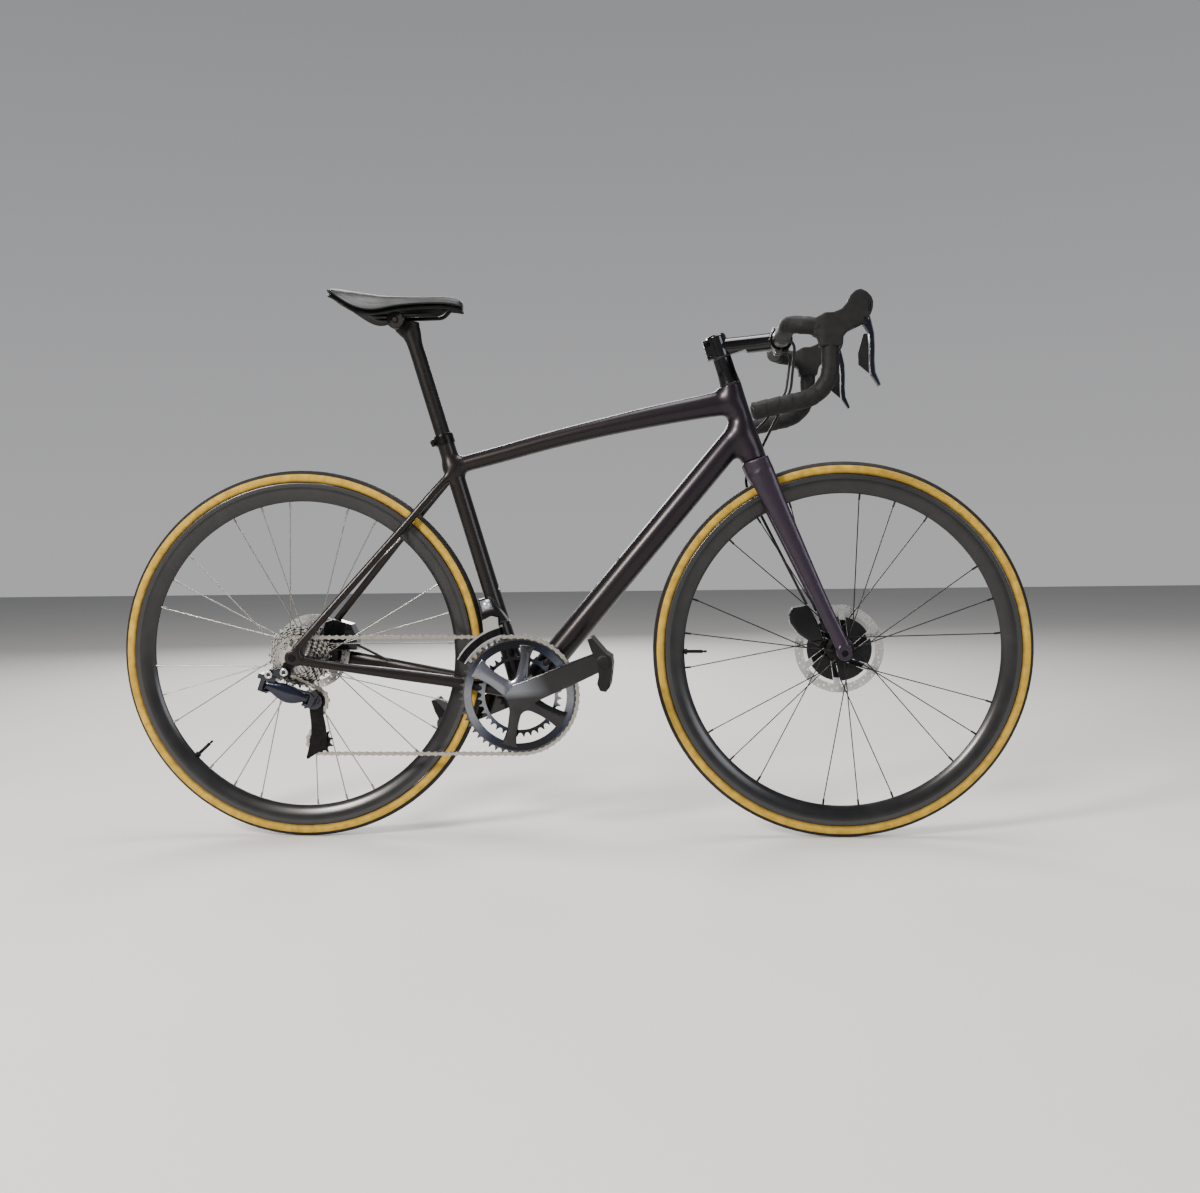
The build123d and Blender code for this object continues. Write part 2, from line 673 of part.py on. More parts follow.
# ---------------------------------------------------------------- fork and steering
leg_line = [
    (0.0, 30.0, 11.0, 25.0), (0.10, 31.5, 10.5, 23.0), (0.22, 34.0, 9.5, 19.5), (0.45, 39.5, 8.2, 16.0),
    (0.75, 47.5, 6.8, 12.5), (0.93, 53.0, 5.2, 12.5), (1.0, 54.6, 4.4, 13.5),
]
leg_start = (337.5, 676.0)
leg_run = (front_x + 1.5 - leg_start[0], hub_z - leg_start[1])


def fork_leg(side):
    faces = []
    for share, y, half_width, half_depth in leg_line:
        x = leg_start[0] + share * leg_run[0]
        z = leg_start[1] + share * leg_run[1]
        plane = Plane(origin=(x, side * y, z), x_dir=(0, 1, 0), z_dir=(leg_run[0], 0, leg_run[1]))
        faces.append(plane * Ellipse(half_width, half_depth))
    leg = loft(faces)
    inner = min(side * 50.0, side * 59.0)
    outer = max(side * 50.0, side * 59.0)
    leg += rod((front_x, inner, hub_z), (front_x, outer, hub_z), 13.5)
    return leg


crown_faces = []
for along, half_width, half_depth in ((-0.6, 22.4, 22.4), (-10, 27, 23.5), (-24, 38, 24.0), (-33, 41, 22.0)):
    plane = Plane(origin=head_point(along, -along * 0.06), x_dir=(0, 1, 0), z_dir=head_axis)
    crown_faces.append(plane * Ellipse(half_width, half_depth))
crown = loft(crown_faces)
fork = crown + fork_leg(-1) + fork_leg(1)
fork += turned(head_point(0), head_axis, [
    (0.01, -3), (19, -3), (19, -0.2), (15.0, 0.2), (15.0, 9), (steerer_radius, 14),
    (steerer_radius, 225), (0.01, 225),
])
front_room = turned(
    (front_x, 0, hub_z), (0, 1, 0),
    [(200, -17), (330, -18.5), (343.5, -15), (343.5, 15), (330, 18.5), (200, 17)],
)
front_hub_room = rod((front_x, -50, hub_z), (front_x, 50, hub_z), 34.0)
fork = fork - front_room - front_hub_room
fork -= rod((front_x, -80, hub_z), (front_x, 80, hub_z), axle_radius)
fork -= rod(head_point(-60), head_point(230), 11.8)
fork -= front_hose
fork_body = max(fork.solids(), key=lambda s: s.volume)
save("fork", fork_body)

cover_profile = [
    (14.6, 140.5), (19.0, 140.5), (18.0, 147), (17.0, 158), (16.6, 165), (14.6, 165),
]
spacers = [turned(head_point(0), head_axis, cover_profile)]
for low, high in ((165.0, 177.5), (177.5, 190.0)):
    ring_profile = [(14.6, low), (16.6, low), (16.6, high), (14.6, high)]
    spacers.append(turned(head_point(0), head_axis, ring_profile))

bar_centre = (bar_x, 0, bar_z)
stem_from = head_point(207.5, 4.0)
stem_dir = (bar_x - stem_from[0], 0, bar_z - stem_from[2])


def stem_oval(share, half_width, half_height):
    centre = (stem_from[0] + share * stem_dir[0], 0, stem_from[2] + share * stem_dir[2])
    return Plane(origin=centre, x_dir=(0, 1, 0), z_dir=stem_dir) * Ellipse(half_width, half_height)


stem = loft([stem_oval(0, 17.5, 16), stem_oval(0.45, 15.5, 15.5), stem_oval(0.9, 19.5, 16)])
stem += rod(head_point(190), head_point(228), 18.2)
stem += rod((bar_x, -21, bar_z), (bar_x, 21, bar_z), 20.5)
lug_points = [head_point(191.5, -14), head_point(191.5, -25), head_point(227, -25), head_point(227, -14)]
stem += plate([(p[0], p[2]) for p in lug_points], -10, 10)
stem -= rod(head_point(180), head_point(226.5), steerer_radius)
stem -= rod(head_point(226), head_point(230), 12.0)
slot_points = [head_point(180, -8), head_point(180, -30), head_point(235, -30), head_point(235, -8)]
stem -= plate([(p[0], p[2]) for p in slot_points], -1.0, 1.0)
stem -= rod((bar_x, -40, bar_z), (bar_x, 40, bar_z), bar_clamp_radius)
stem_bolts = []
for along, side in ((199.0, 1), (220.0, -1)):
    a = head_point(along, -21.0)
    shank = rod((a[0], -11 * side, a[2]), (a[0], 10 * side, a[2]), 2.5)
    stem_bolts.append(shank + rod((a[0], 7.5 * side, a[2]), (a[0], 12.5 * side, a[2]), 4.2))
front_half = Plane(origin=bar_centre, x_dir=(0, 1, 0), z_dir=stem_dir) * Pos(0, 0, 51.0) * Box(120, 120, 100)
faceplate = (rod((bar_x, -21, bar_z), (bar_x, 21, bar_z), 20.5)) & front_half
faceplate -= rod((bar_x, -40, bar_z), (bar_x, 40, bar_z), bar_clamp_radius)
size = math.hypot(stem_dir[0], stem_dir[2])
fx, fz = stem_dir[0] / size, stem_dir[2] / size
tabs = []
for up in (-1, 1):
    for side in (-1, 1):
        cx = bar_x - fz * up * 18.7
        cz = bar_z + fx * up * 18.7
        back = (cx - fx * 12, side * 14.5, cz - fz * 12)
        middle = (cx + fx * 1, side * 14.5, cz + fz * 1)
        front = (cx + fx * 9, side * 14.5, cz + fz * 9)
        stem += rod(back, (cx - fx, side * 14.5, cz - fz), 4.6)
        tabs.append(rod(middle, front, 4.6))
        bolt_end = (cx + fx * 12, side * 14.5, cz + fz * 12)
        stem_bolts.append(rod(back, front, 2.2) + rod(front, bolt_end, 4.0))
for tab in tabs:
    faceplate += tab
faceplate -= rod((bar_x, -40, bar_z), (bar_x, 40, bar_z), bar_clamp_radius)
behind = Plane(origin=bar_centre, x_dir=(0, 1, 0), z_dir=stem_dir) * Pos(0, 0, 49.0) * Box(120, 120, 100)
stem = stem - behind - rod((bar_x, -40, bar_z), (bar_x, 40, bar_z), bar_clamp_radius)
stem = stem - stem_bolts - rod(head_point(150), head_point(190.1), 45)
top_cap = turned(head_point(0), head_axis, [(0.01, 228.1), (17.2, 228.1), (16.2, 231), (0.01, 231)])
save("stem", max(stem.solids(), key=lambda s: s.volume), top_cap, *spacers)
faceplate = faceplate - stem_bolts
save("stem_faceplate", max(faceplate.solids(), key=lambda s: s.volume), *stem_bolts)

# ---------------------------------------------------------------- handlebar, tape and levers
hook = [
    (bar_x, 0, bar_z), (bar_x, -bar_half_width, bar_z), (450, -206, 878), (450, -207, 773), (325, -210, 747),
]
hook_radii = [35, 33, 56]
right_bar = bar_through(hook, hook_radii, bar_radius)
right_hollow = bar_through(hook, hook_radii, bar_radius - 2.0)
tape_line = [(bar_x, -60, bar_z)] + hook[1:]
right_tape = bar_through(tape_line, hook_radii, tape_radius, bar_radius)
bulge = turned((bar_x, 0, bar_z), (0, 1, 0), [
    (0.01, -58), (12, -58), (bar_clamp_radius, -38), (bar_clamp_radius, 38), (12, 58), (0.01, 58),
])
bulge_bore = turned((bar_x, 0, bar_z), (0, 1, 0), [
    (0.01, -59), (10, -59), (13.9, -37), (13.9, 37), (10, 59), (0.01, 59),
])
bar_solid = right_bar + mirrored(right_bar) + bulge
handlebar = bar_solid - right_hollow - mirrored(right_hollow) - bulge_bore
hose_exits = [
    bar_through(front_hose_points[:4], front_hose_radii[:2], hose_radius + 0.4),
    bar_through(rear_hose_points[:4], rear_hose_radii[:2], hose_radius + 0.4),
]
handlebar = handlebar - hose_exits
save("handlebar", max(handlebar.solids(), key=lambda s: s.volume))

hood_outline = [
    (424, 893), (441, 902), (454, 902), (467, 907), (475, 916), (481, 928), (489, 936), (498, 938),
    (508, 933), (515, 926), (518, 918), (517, 907), (513, 896), (502, 884), (478, 873), (470, 863),
    (467, 848), (433, 848), (430, 864), (422, 867),
]
bracket_outline = [
    (446, 897), (463, 900), (478, 911), (486, 927), (497, 932), (507, 928), (513, 917), (512, 905),
    (508, 895), (500, 887), (476, 877), (452, 874),
]
lever_y = -bar_half_width
pivot_x = 504.0
pivot_z = 891.0
lever_room = [
    (pivot_x - 9, pivot_z + 6), (pivot_x - 4, pivot_z + 10.5), (pivot_x + 4, pivot_z + 10.5),
    (pivot_x + 9, pivot_z + 7), (530, 884), (520, 800), (462, 800), (pivot_x - 14, pivot_z - 8),
]
hood = plate(hood_outline, lever_y - 16.5, lever_y + 16.5)
top_shape = [(415, -12), (440, -16.5), (480, -16.5), (505, -14), (519, -9), (519, 9), (505, 14)]
top_shape += [(480, 16.5), (440, 16.5), (415, 12)]
top_points = [(x, lever_y + y, 800) for x, y in top_shape]
hood = hood & extrude(make_face(Polyline(*top_points, close=True)), amount=200, dir=(0, 0, 1))
bracket = plate(bracket_outline, lever_y - 12, lever_y + 12)
bracket = bracket & plate(hood_outline, lever_y - 20, lever_y + 20)
clearance = plate(lever_room, lever_y - 8.5, lever_y + 8.5)
bracket = bracket - right_bar - clearance
bracket += rod((pivot_x, lever_y - 11, pivot_z), (pivot_x, lever_y + 11, pivot_z), 2.0)
hood = hood - clearance - bracket - right_bar
hood = max(hood.solids(), key=lambda s: s.volume)
bracket = max(bracket.solids(), key=lambda s: s.volume)
hood -= rod((pivot_x, lever_y - 30, pivot_z), (pivot_x, lever_y + 30, pivot_z), 2.0)
save("lever_brackets", bracket, mirrored(bracket))
hood = max(hood.solids(), key=lambda s: s.volume)

end_point = Vector(*hook[-1])
end_dir = (end_point - Vector(*hook[-2])).normalized()
plug_plane = Plane(origin=end_point, z_dir=end_dir)
plug = plug_plane * Cylinder(tape_radius, 4, align=(Align.CENTER, Align.CENTER, Align.MIN))
plug += plug_plane * Pos(0, 0, -14) * Cylinder(10, 15, align=(Align.CENTER, Align.CENTER, Align.MIN))
tape = right_tape - hood - bracket - hose_exits[0]
tape_pieces = sorted(tape.solids(), key=lambda s: -s.volume)[:2]
left_tape = [mirrored(s) - hose_exits[1] for s in tape_pieces]
save("bar_tape", *tape_pieces, plug, *left_tape, mirrored(plug))
save("lever_hoods", hood, mirrored(hood))

blade_outline = [
    (pivot_x - 5, pivot_z), (pivot_x - 2, pivot_z + 5), (pivot_x + 3, pivot_z + 5.5),
    (pivot_x + 9, pivot_z + 4), (516, 884), (519.5, 868), (520.5, 847), (520, 825), (521.5, 806),
    (530, 786), (526.5, 783), (514.5, 801), (512.5, 818), (512.8, 846), (511, 868), (502, 882),
]
paddle_outline = [(502.5, 868), (509.0, 868), (511.2, 846), (511.0, 818), (512.0, 804), (494.5, 819), (494, 838)]
blade = plate(blade_outline, lever_y - 7, lever_y + 7)
blade += rod((pivot_x, lever_y - 7.5, pivot_z), (pivot_x, lever_y + 7.5, pivot_z), 6.0)
blade -= rod((pivot_x, lever_y - 20, pivot_z), (pivot_x, lever_y + 20, pivot_z), 2.05)
save("brake_lever_right", blade)
save("brake_lever_left", mirrored(blade))
paddle = plate(paddle_outline, lever_y - 2, lever_y + 1.5)
save("shift_paddle_right", paddle)
save("shift_paddle_left", mirrored(paddle))

# ---------------------------------------------------------------- crank, rings and pedals
bb_centre = (bb_x, bb_z)
ring_phase = phase_at(bb_centre, pitch_radius(big_ring_teeth))
spider_angles = [crank_angle + turn for turn in (56.4, 123.0, -125.0, -52.6)]


def along_angle(degrees, distance, side):
    """A side-view point out from the crank centre along an angle."""
    a = math.radians(degrees)
    x = bb_x + distance * math.cos(a) - side * math.sin(a)
    z = bb_z + distance * math.sin(a) + side * math.cos(a)
    return (x, z)


def arm_plate(degrees, near, far, near_half, far_half, y_low, y_high):
    points = [
        along_angle(degrees, near, -near_half), along_angle(degrees, far, -far_half),
        along_angle(degrees, far, far_half), along_angle(degrees, near, near_half),
    ]
    return plate(points, y_low, y_high)


def bb_ring(outer, inner, y_low, y_high):
    ring = rod((bb_x, y_low, bb_z), (bb_x, y_high, bb_z), outer)
    return ring - rod((bb_x, y_low - 1, bb_z), (bb_x, y_high + 1, bb_z), inner)


big_ring = gear(bb_centre, big_ring_teeth, chain_y, 1.7, ring_phase)
big_ring -= rod((bb_x, -60, bb_z), (bb_x, -40, bb_z), 86)
big_ring += bb_ring(98.5, 85.5, -52.4, chain_y)
small_y = chain_y + ring_step
small_ring = gear(bb_centre, small_ring_teeth, small_y, 1.7, 0.0)
small_ring -= rod((bb_x, -60, bb_z), (bb_x, -30, bb_z), 63)
for degrees in spider_angles:
    big_ring += arm_plate(degrees, 49, 87, 9.0, 8.0, -51.0, -46.6)
    small_ring += arm_plate(degrees, 49, 65, 8.5, 9.5, -43.5, small_y + 0.85)
bolts = []
bolt_room = []
for degrees in spider_angles:
    p = along_angle(degrees, 55, 0)
    shank = rod((p[0], -56.5, p[1]), (p[0], -38.6, p[1]), 3.5)
    bolts.append(shank + rod((p[0], -39.4, p[1]), (p[0], -37.6, p[1]), 5.5))
    bolt_room.append(shank)
big_ring -= bolt_room
small_ring -= bolt_room
save("chainring_big", big_ring)
save("chainring_small", max(small_ring.solids(), key=lambda s: s.volume), *bolts)


def crank_arm(degrees, y_root_in, y_root_out, y_tip_in, y_tip_out):
    """Arm that steps outward from the crank centre to the pedal eye."""
    root = [
        along_angle(degrees, -20, -13), along_angle(degrees, 0, -23), along_angle(degrees, 40, -20.5),
        along_angle(degrees, 100, -19.5), along_angle(degrees, 165, -17.0),
        along_angle(degrees, 181, -11), along_angle(degrees, 186, 0), along_angle(degrees, 181, 11),
        along_angle(degrees, 165, 17.0), along_angle(degrees, 100, 19.5),
        along_angle(degrees, 40, 20.5), along_angle(degrees, 0, 23), along_angle(degrees, -20, 13),
    ]
    side_view = plate(root, min(y_root_in, y_tip_out), max(y_root_in, y_tip_out))
    profile = [
        (-30, y_root_in), (45, y_root_in), (90, y_tip_in), (190, y_tip_in),
        (190, y_tip_out), (60, y_tip_out), (-30, y_root_out),
    ]
    plane = Plane(origin=(bb_x, 0, bb_z), x_dir=(1, 0, 0), z_dir=(0, 0, 1))
    band = extrude(plane * make_face(Polyline(*profile, close=True)), amount=60, both=True)
    band = band.rotate(Axis((bb_x, 0, bb_z), (0, -1, 0)), degrees)
    return side_view & band


right_crank = crank_arm(crank_angle, -52.6, -70.0, -59.0, -73.0)
for degrees in spider_angles:
    right_crank += arm_plate(degrees, 0, 83.5, 13.0, 7.0, -56.5, -52.5)
    right_crank += arm_plate(degrees, 0, 62, 13.0, 8.0, -52.6, -51.1)
right_crank += rod((bb_x, -70, bb_z), (bb_x, -46.2, bb_z), 20.0)
right_crank += rod((bb_x, -50, bb_z), (bb_x, 66, bb_z), spindle_radius)
right_crank -= rod((bb_x, -44, bb_z), (bb_x, 70, bb_z), 9.5)
right_eye = along_angle(crank_angle, crank_length, 0)
left_eye = along_angle(crank_angle + 180, crank_length, 0)
right_hole = rod((right_eye[0], -80, right_eye[1]), (right_eye[0], -50, right_eye[1]), 6.5)
right_crank = right_crank - right_hole - bolt_room - big_ring
save("crank_right", max(right_crank.solids(), key=lambda s: s.volume))
left_crank = crank_arm(crank_angle + 180, 53.0, 70.0, 59.0, 73.0)
left_crank += rod((bb_x, 46.2, bb_z), (bb_x, 70, bb_z), 20.0)
left_crank -= rod((bb_x, 40, bb_z), (bb_x, 66, bb_z), spindle_radius)
left_crank -= rod((left_eye[0], 50, left_eye[1]), (left_eye[0], 80, left_eye[1]), 6.5)
save("crank_left", max(left_crank.solids(), key=lambda s: s.volume))

pedal_outline = [
    (-28, 41), (-20, 43), (-9, 30), (4, 15), (13, 10), (15, -4), (13, -20), (10, -42), (3, -50),
    (-7, -48), (-12, -36), (-9, -22), (-12, 2), (-21, 20),
]
for name, eye, side in (("right", right_eye, -1), ("left", left_eye, 1)):
    outline = [(eye[0] + x, eye[1] + z) for x, z in pedal_outline]
    body = plate(outline, min(side * 84, side * 146), max(side * 84, side * 146))
    core = rod((eye[0], side * 80.5, eye[1]), (eye[0], side * 149, eye[1]), 11.0)
    window_low = [(eye[0] + x, eye[1] + z) for x, z in ((-30, -14), (30, -14), (30, -36), (-30, -36))]
    window = plate(window_low, min(side * 98, side * 132), max(side * 98, side * 132))
    body = body + core - window
    body -= rod((eye[0], side * 70, eye[1]), (eye[0], side * 145.4, eye[1]), 5.05)
    save("pedal_" + name, max(body.solids(), key=lambda s: s.volume))
spindles = []
for eye, side in ((right_eye, -1), (left_eye, 1)):
    spindle = rod((eye[0], side * 60.5, eye[1]), (eye[0], side * 75, eye[1]), 6.5)
    spindle += rod((eye[0], side * 73.0, eye[1]), (eye[0], side * 79.5, eye[1]), 8.0)
    spindle += rod((eye[0], side * 75, eye[1]), (eye[0], side * 145, eye[1]), 5.0)
    spindles.append(spindle)
save("pedal_spindles", *spindles)

# ---------------------------------------------------------------- front derailleur
fd_pins = [(-128, 401), (-142, 395)]
fd_block = plate([(-158, 437), (-136, 442), (-104, 398), (-125, 393), (-146, 385), (-152, 402)], -44, -20)
fd_foot = plate([(-138, 432), (-128, 432), (-117, 392), (-127, 392)], -20, 0)
fd_body = fd_block + fd_foot - seat_outer
for x, z in fd_pins:
    fd_body -= rod((x, -50, z), (x, 0, z), 2.5 + run_gap)
fd_body = max(fd_body.solids(), key=lambda s: s.volume)
fd_cover = plate([(-156, 437), (-138, 441), (-130, 419), (-150, 414)], -46.5, -44.0)
save("front_derailleur", fd_body, fd_cover)


def cage_band(inner, outer, start, end, y_low, y_high):
    points = [polar(bb_x, bb_z, inner, start + (end - start) * i / 8) for i in range(9)]
    points += [polar(bb_x, bb_z, outer, end - (end - start) * i / 8) for i in range(9)]
    return plate(points, y_low, y_high)


fd_cage = cage_band(111, 128, 105, 149, -53.4, -52.2)
fd_cage += cage_band(104, 130, 103, 146, -42.3, -41.1)
fd_cage += cage_band(126.5, 128, 105, 118, -53.4, -41.1)
fd_cage += cage_band(116, 121, 144.5, 146, -53.4, -41.1)
fd_cage += plate([(-120, 384), (-121, 405), (-133, 408), (-149, 400), (-147, 377), (-134, 379)], -53.4, -51.5)
for x, z in fd_pins:
    fd_cage += rod((x, -52, z), (x, -29, z), 2.5)
save("front_derailleur_cage", max(fd_cage.solids(), key=lambda s: s.volume))

# ---------------------------------------------------------------- rear derailleur
upper_pivot = (-534.0, 289.0)
lower_pivot = (-463.0, 265.0)
link_run = (lower_pivot[0] - upper_pivot[0], lower_pivot[1] - upper_pivot[1])
link_size = math.hypot(*link_run)
link_dir = (link_run[0] / link_size, link_run[1] / link_size)
link_axis = (-link_dir[1], link_dir[0])
print("link axis", round(link_axis[0], 5), round(link_axis[1], 5))


def link_point(share, across):
    x = upper_pivot[0] + share * link_run[0] + across * link_axis[0]
    z = upper_pivot[1] + share * link_run[1] + across * link_axis[1]
    return (x, z)


def pivot_pin(at, y, reach, radius):
    """A pin along the swing axis of the parallelogram."""
    a = (at[0] - link_axis[0] * reach, y, at[1] - link_axis[1] * reach)
    b = (at[0] + link_axis[0] * reach, y, at[1] + link_axis[1] * reach)
    return rod(a, b, radius)


outer_link_y = -80.0
inner_link_y = -64.0


def swing_link(y, half_height):
    points = [
        link_point(0, -half_height), link_point(1, -half_height), link_point(1, half_height),
        link_point(0, half_height),
    ]
    link = plate(points, y - 3.5, y + 3.5)
    for at in (upper_pivot, lower_pivot):
        link += pivot_pin(at, y, half_height, 3.5)
        link -= pivot_pin(at, y, half_height + 3, 1.5 + run_gap)
    return link


save("derailleur_link_outer", swing_link(outer_link_y, 8.5))
save("derailleur_link_inner", swing_link(inner_link_y, 8.5))

knuckle = plate([
    (hanger_x, hanger_z + 8), (hanger_x + 7, hanger_z + 3), (hanger_x + 7, hanger_z - 5),
    (hanger_x, hanger_z - 8), (-520, 301.5), (-523, 297.5), (-538, 301.5), (-538, 312), (-530, 318),
], -83.0, -77.3)
base_block = plate([
    (-536, 309), (-516, 302), (-519, 294.5), (-539, 300.5), (-550, 303), (-548, 312),
], -86, -58)
base_fork = plate([link_point(-0.06, 9), link_point(0.07, 9), link_point(0.07, 15), link_point(-0.1, 15)], -86, -58)
base_low = plate([
    link_point(-0.06, -9), link_point(0.07, -9), link_point(0.07, -13), link_point(-0.18, -13),
    link_point(-0.18, 15), link_point(-0.075, 15), link_point(-0.075, -9),
], -86, -58)
base = knuckle + base_block + base_fork + base_low
for y in (outer_link_y, inner_link_y):
    base += pivot_pin(upper_pivot, y, 12.5, 1.5)
base += rod((hanger_x, -85.5, hanger_z), (hanger_x, -71.5, hanger_z), 4.0 - run_gap)
base += rod((hanger_x, -86.5, hanger_z), (hanger_x, -83.0, hanger_z), 6.5)
base += rod((-529, -86.5, 309), (-529, -83.0, 309), 6.5)
save("derailleur_base", max(base.solids(), key=lambda s: s.volume))

p_top = plate([link_point(0.93, 9), link_point(1.06, 9), link_point(1.06, 14), link_point(0.93, 14)], -85, -58)
p_low = plate([link_point(0.93, -9), link_point(1.06, -9), link_point(1.06, -14), link_point(0.93, -14)], -85, -58)
p_side = plate([link_point(1.06, 14), link_point(1.06, -14), link_point(1.17, -12), link_point(1.2, 8)], -85, -55)
p_body = p_top + p_low + p_side
for y in (outer_link_y, inner_link_y):
    p_body += pivot_pin(lower_pivot, y, 12.5, 1.5)
p_body += rod((guide_x, -58.5, guide_z), (guide_x, -54.2, guide_z), 15.0)
p_body += plate([(-470, 268), (-446, 268), (-444, 248), (-468, 246)], -58.2, -54.2)
p_body += rod((guide_x, -56, guide_z), (guide_x, -40.5, guide_z), 2.5)
save("derailleur_knuckle", max(p_body.solids(), key=lambda s: s.volume))

tx, tz = tension_centre
outer_cage = plate([
    (guide_x - 10, guide_z + 7), (guide_x, guide_z + 12), (guide_x + 10, guide_z + 7),
    (guide_x + 15, guide_z - 20), (guide_x + 20, tz + 28), (tx + 15, tz - 2), (tx + 10, tz - 12),
    (tx - 22, tz - 32), (tx - 24, tz - 28), (tx - 14, tz + 8), (tx - 14, tz + 35),
    (guide_x - 9, guide_z - 20),
], -53.9, -52.3)
inner_cage = plate([
    (guide_x - 9, guide_z + 6), (guide_x, guide_z + 10), (guide_x + 9, guide_z + 6),
    (tx + 9, tz - 6), (tx, tz - 10), (tx - 9, tz - 6),
], -42.3, -41.0)
cage = outer_cage + inner_cage
cage -= rod((guide_x, -60, guide_z), (guide_x, -35, guide_z), 2.5 + run_gap)
cage += rod((tx, -54.6, tz), (tx, -40.4, tz), 2.5)
cage_join = plate([
    (tx - 23, tz - 31), (tx - 20, tz - 30), (tx - 19, tz - 24), (tx - 22, tz - 24),
], -53.9, -49.0)
cage += cage_join
save("derailleur_cage", max(cage.solids(), key=lambda s: s.volume))
for name, centre in (("guide_pulley", (guide_x, guide_z)), ("tension_pulley", tension_centre)):
    phase = phase_at(centre, pitch_radius(pulley_teeth))
    pulley = gear(centre, pulley_teeth, chain_y, 1.7, phase, 2.4)
    pulley += rod((centre[0], chain_y - 3.6, centre[1]), (centre[0], chain_y + 3.6, centre[1]), 8.0)
    pulley -= rod((centre[0], -60, centre[1]), (centre[0], -30, centre[1]), 2.5 + run_gap)
    save(name, pulley)

# ---------------------------------------------------------------- brake calipers
def caliper(cx, outline, y_low, y_high, rotor_y, rotor_radius, pad_at):
    """Body straddling the disc, with two pads; the slot opens to the hub."""
    body = plate(outline, y_low, y_high)
    body -= rod((cx, rotor_y - 4.2, hub_z), (cx, rotor_y + 4.2, hub_z), rotor_radius + 2.0)
    pads = []
    for side in (-1, 1):
        a = rotor_y + side * 1.2
        b = rotor_y + side * 4.2
        pads.append(rod((pad_at[0], a, pad_at[1]), (pad_at[0], b, pad_at[1]), 9.0))
    return body, pads


front_pad_at = polar(front_x, hub_z, 68, 142)
front_caliper_outline = [
    (398, 400), (404, 412), (432, 417), (437, 412), (446, 395), (462, 352), (452, 342), (436, 350),
    (414, 366), (400, 385),
]
front_caliper, front_pads = caliper(
    front_x, front_caliper_outline, 25.5, 53.5, front_rotor_y, front_rotor_radius, front_pad_at,
)
front_caliper = front_caliper - fork_leg(1) - front_hose
save("front_caliper", max(front_caliper.solids(), key=lambda s: s.volume), *front_pads)
rear_pad_at = polar(rear_x, hub_z, 58, 38)
rear_caliper_outline = [
    (-466, 378), (-460, 394), (-446, 398), (-412, 388), (-402, 366), (-402, 340), (-440, 340),
    (-452, 350), (-463, 362),
]
rear_caliper, rear_pads = caliper(
    rear_x, rear_caliper_outline, 42, 74, rear_rotor_y, rear_rotor_radius, rear_pad_at,
)
rear_caliper = rear_caliper - left_low - rear_hose - seatstays[1]
save("rear_caliper", max(rear_caliper.solids(), key=lambda s: s.volume), *rear_pads)

# ---------------------------------------------------------------- seatpost and saddle
barrel_x = -300.0
barrel_z = 937.5
seatpost = rod(seat_point(360), seat_point(662), seat_post_radius)
neck_faces = []
for centre, direction, half_width, half_depth in (
    (seat_point(652), seat_axis, seat_post_radius, seat_post_radius),
    (seat_point(672), (-0.40, 0, 0.92), 13.0, 14.0),
    ((-287.0, 0, 921.0), (-0.55, 0, 0.83), 13.0, 14.5),
    ((barrel_x, 0, barrel_z), (-0.6, 0, 0.8), 14.0, 13.0),
):
    plane = Plane(origin=centre, x_dir=(0, 1, 0), z_dir=direction)
    neck_faces.append(plane * Ellipse(half_width, half_depth))
seatpost += loft(neck_faces)
seatpost += rod((barrel_x, -15.5, barrel_z), (barrel_x, 15.5, barrel_z), 15.0)
seatpost -= rod((barrel_x, -20, barrel_z), (barrel_x, 20, barrel_z), 2.8)
seatpost -= rod(seat_point(350), seat_point(640), 11.4)
save("seatpost", max(seatpost.solids(), key=lambda s: s.volume))

rail_z = 945.5
rail_y = 22.0
rail_radius = 3.5
clamps = []
for side in (-1, 1):
    disc = rod((barrel_x, side * 15.7, barrel_z), (barrel_x, side * 28.5, barrel_z), 15.5)
    groove = rod((barrel_x - 40, side * rail_y, rail_z), (barrel_x + 40, side * rail_y, rail_z), rail_radius + run_gap)
    clamps.append(disc - groove - rod((barrel_x, -40, barrel_z), (barrel_x, 40, barrel_z), 2.5))
clamp_bolt = rod((barrel_x, -28.5, barrel_z), (barrel_x, 28.5, barrel_z), 2.5)
clamp_bolt += rod((barrel_x, -31.5, barrel_z), (barrel_x, -28.5, barrel_z), 4.5)
clamp_bolt += rod((barrel_x, 28.5, barrel_z), (barrel_x, 31.5, barrel_z), 4.5)
save("saddle_clamp", *clamps, clamp_bolt)

# rails: one bent rod from the nose socket to the tail socket on each side
rails = []
for side in (-1, 1):
    line = [
        (-203, side * 9, 960.5), (-222, side * 20, rail_z), (-262, side * rail_y, rail_z),
        (-340, side * rail_y, rail_z), (-382, side * rail_y, 968.5),
    ]
    rails.append(bar_through(line, [20, 60, 30], rail_radius))

# saddle: (x, half width, top, edge drop) from tail to nose
saddle_line = [
    (-424, 52, 985.5, 10), (-412, 68, 988, 17), (-390, 74, 988, 22), (-355, 70, 985.5, 25),
    (-315, 50, 982, 20), (-275, 33, 979.5, 14), (-235, 24, 978.5, 10), (-200, 20, 977, 9),
    (-184, 15, 973.5, 7),
]


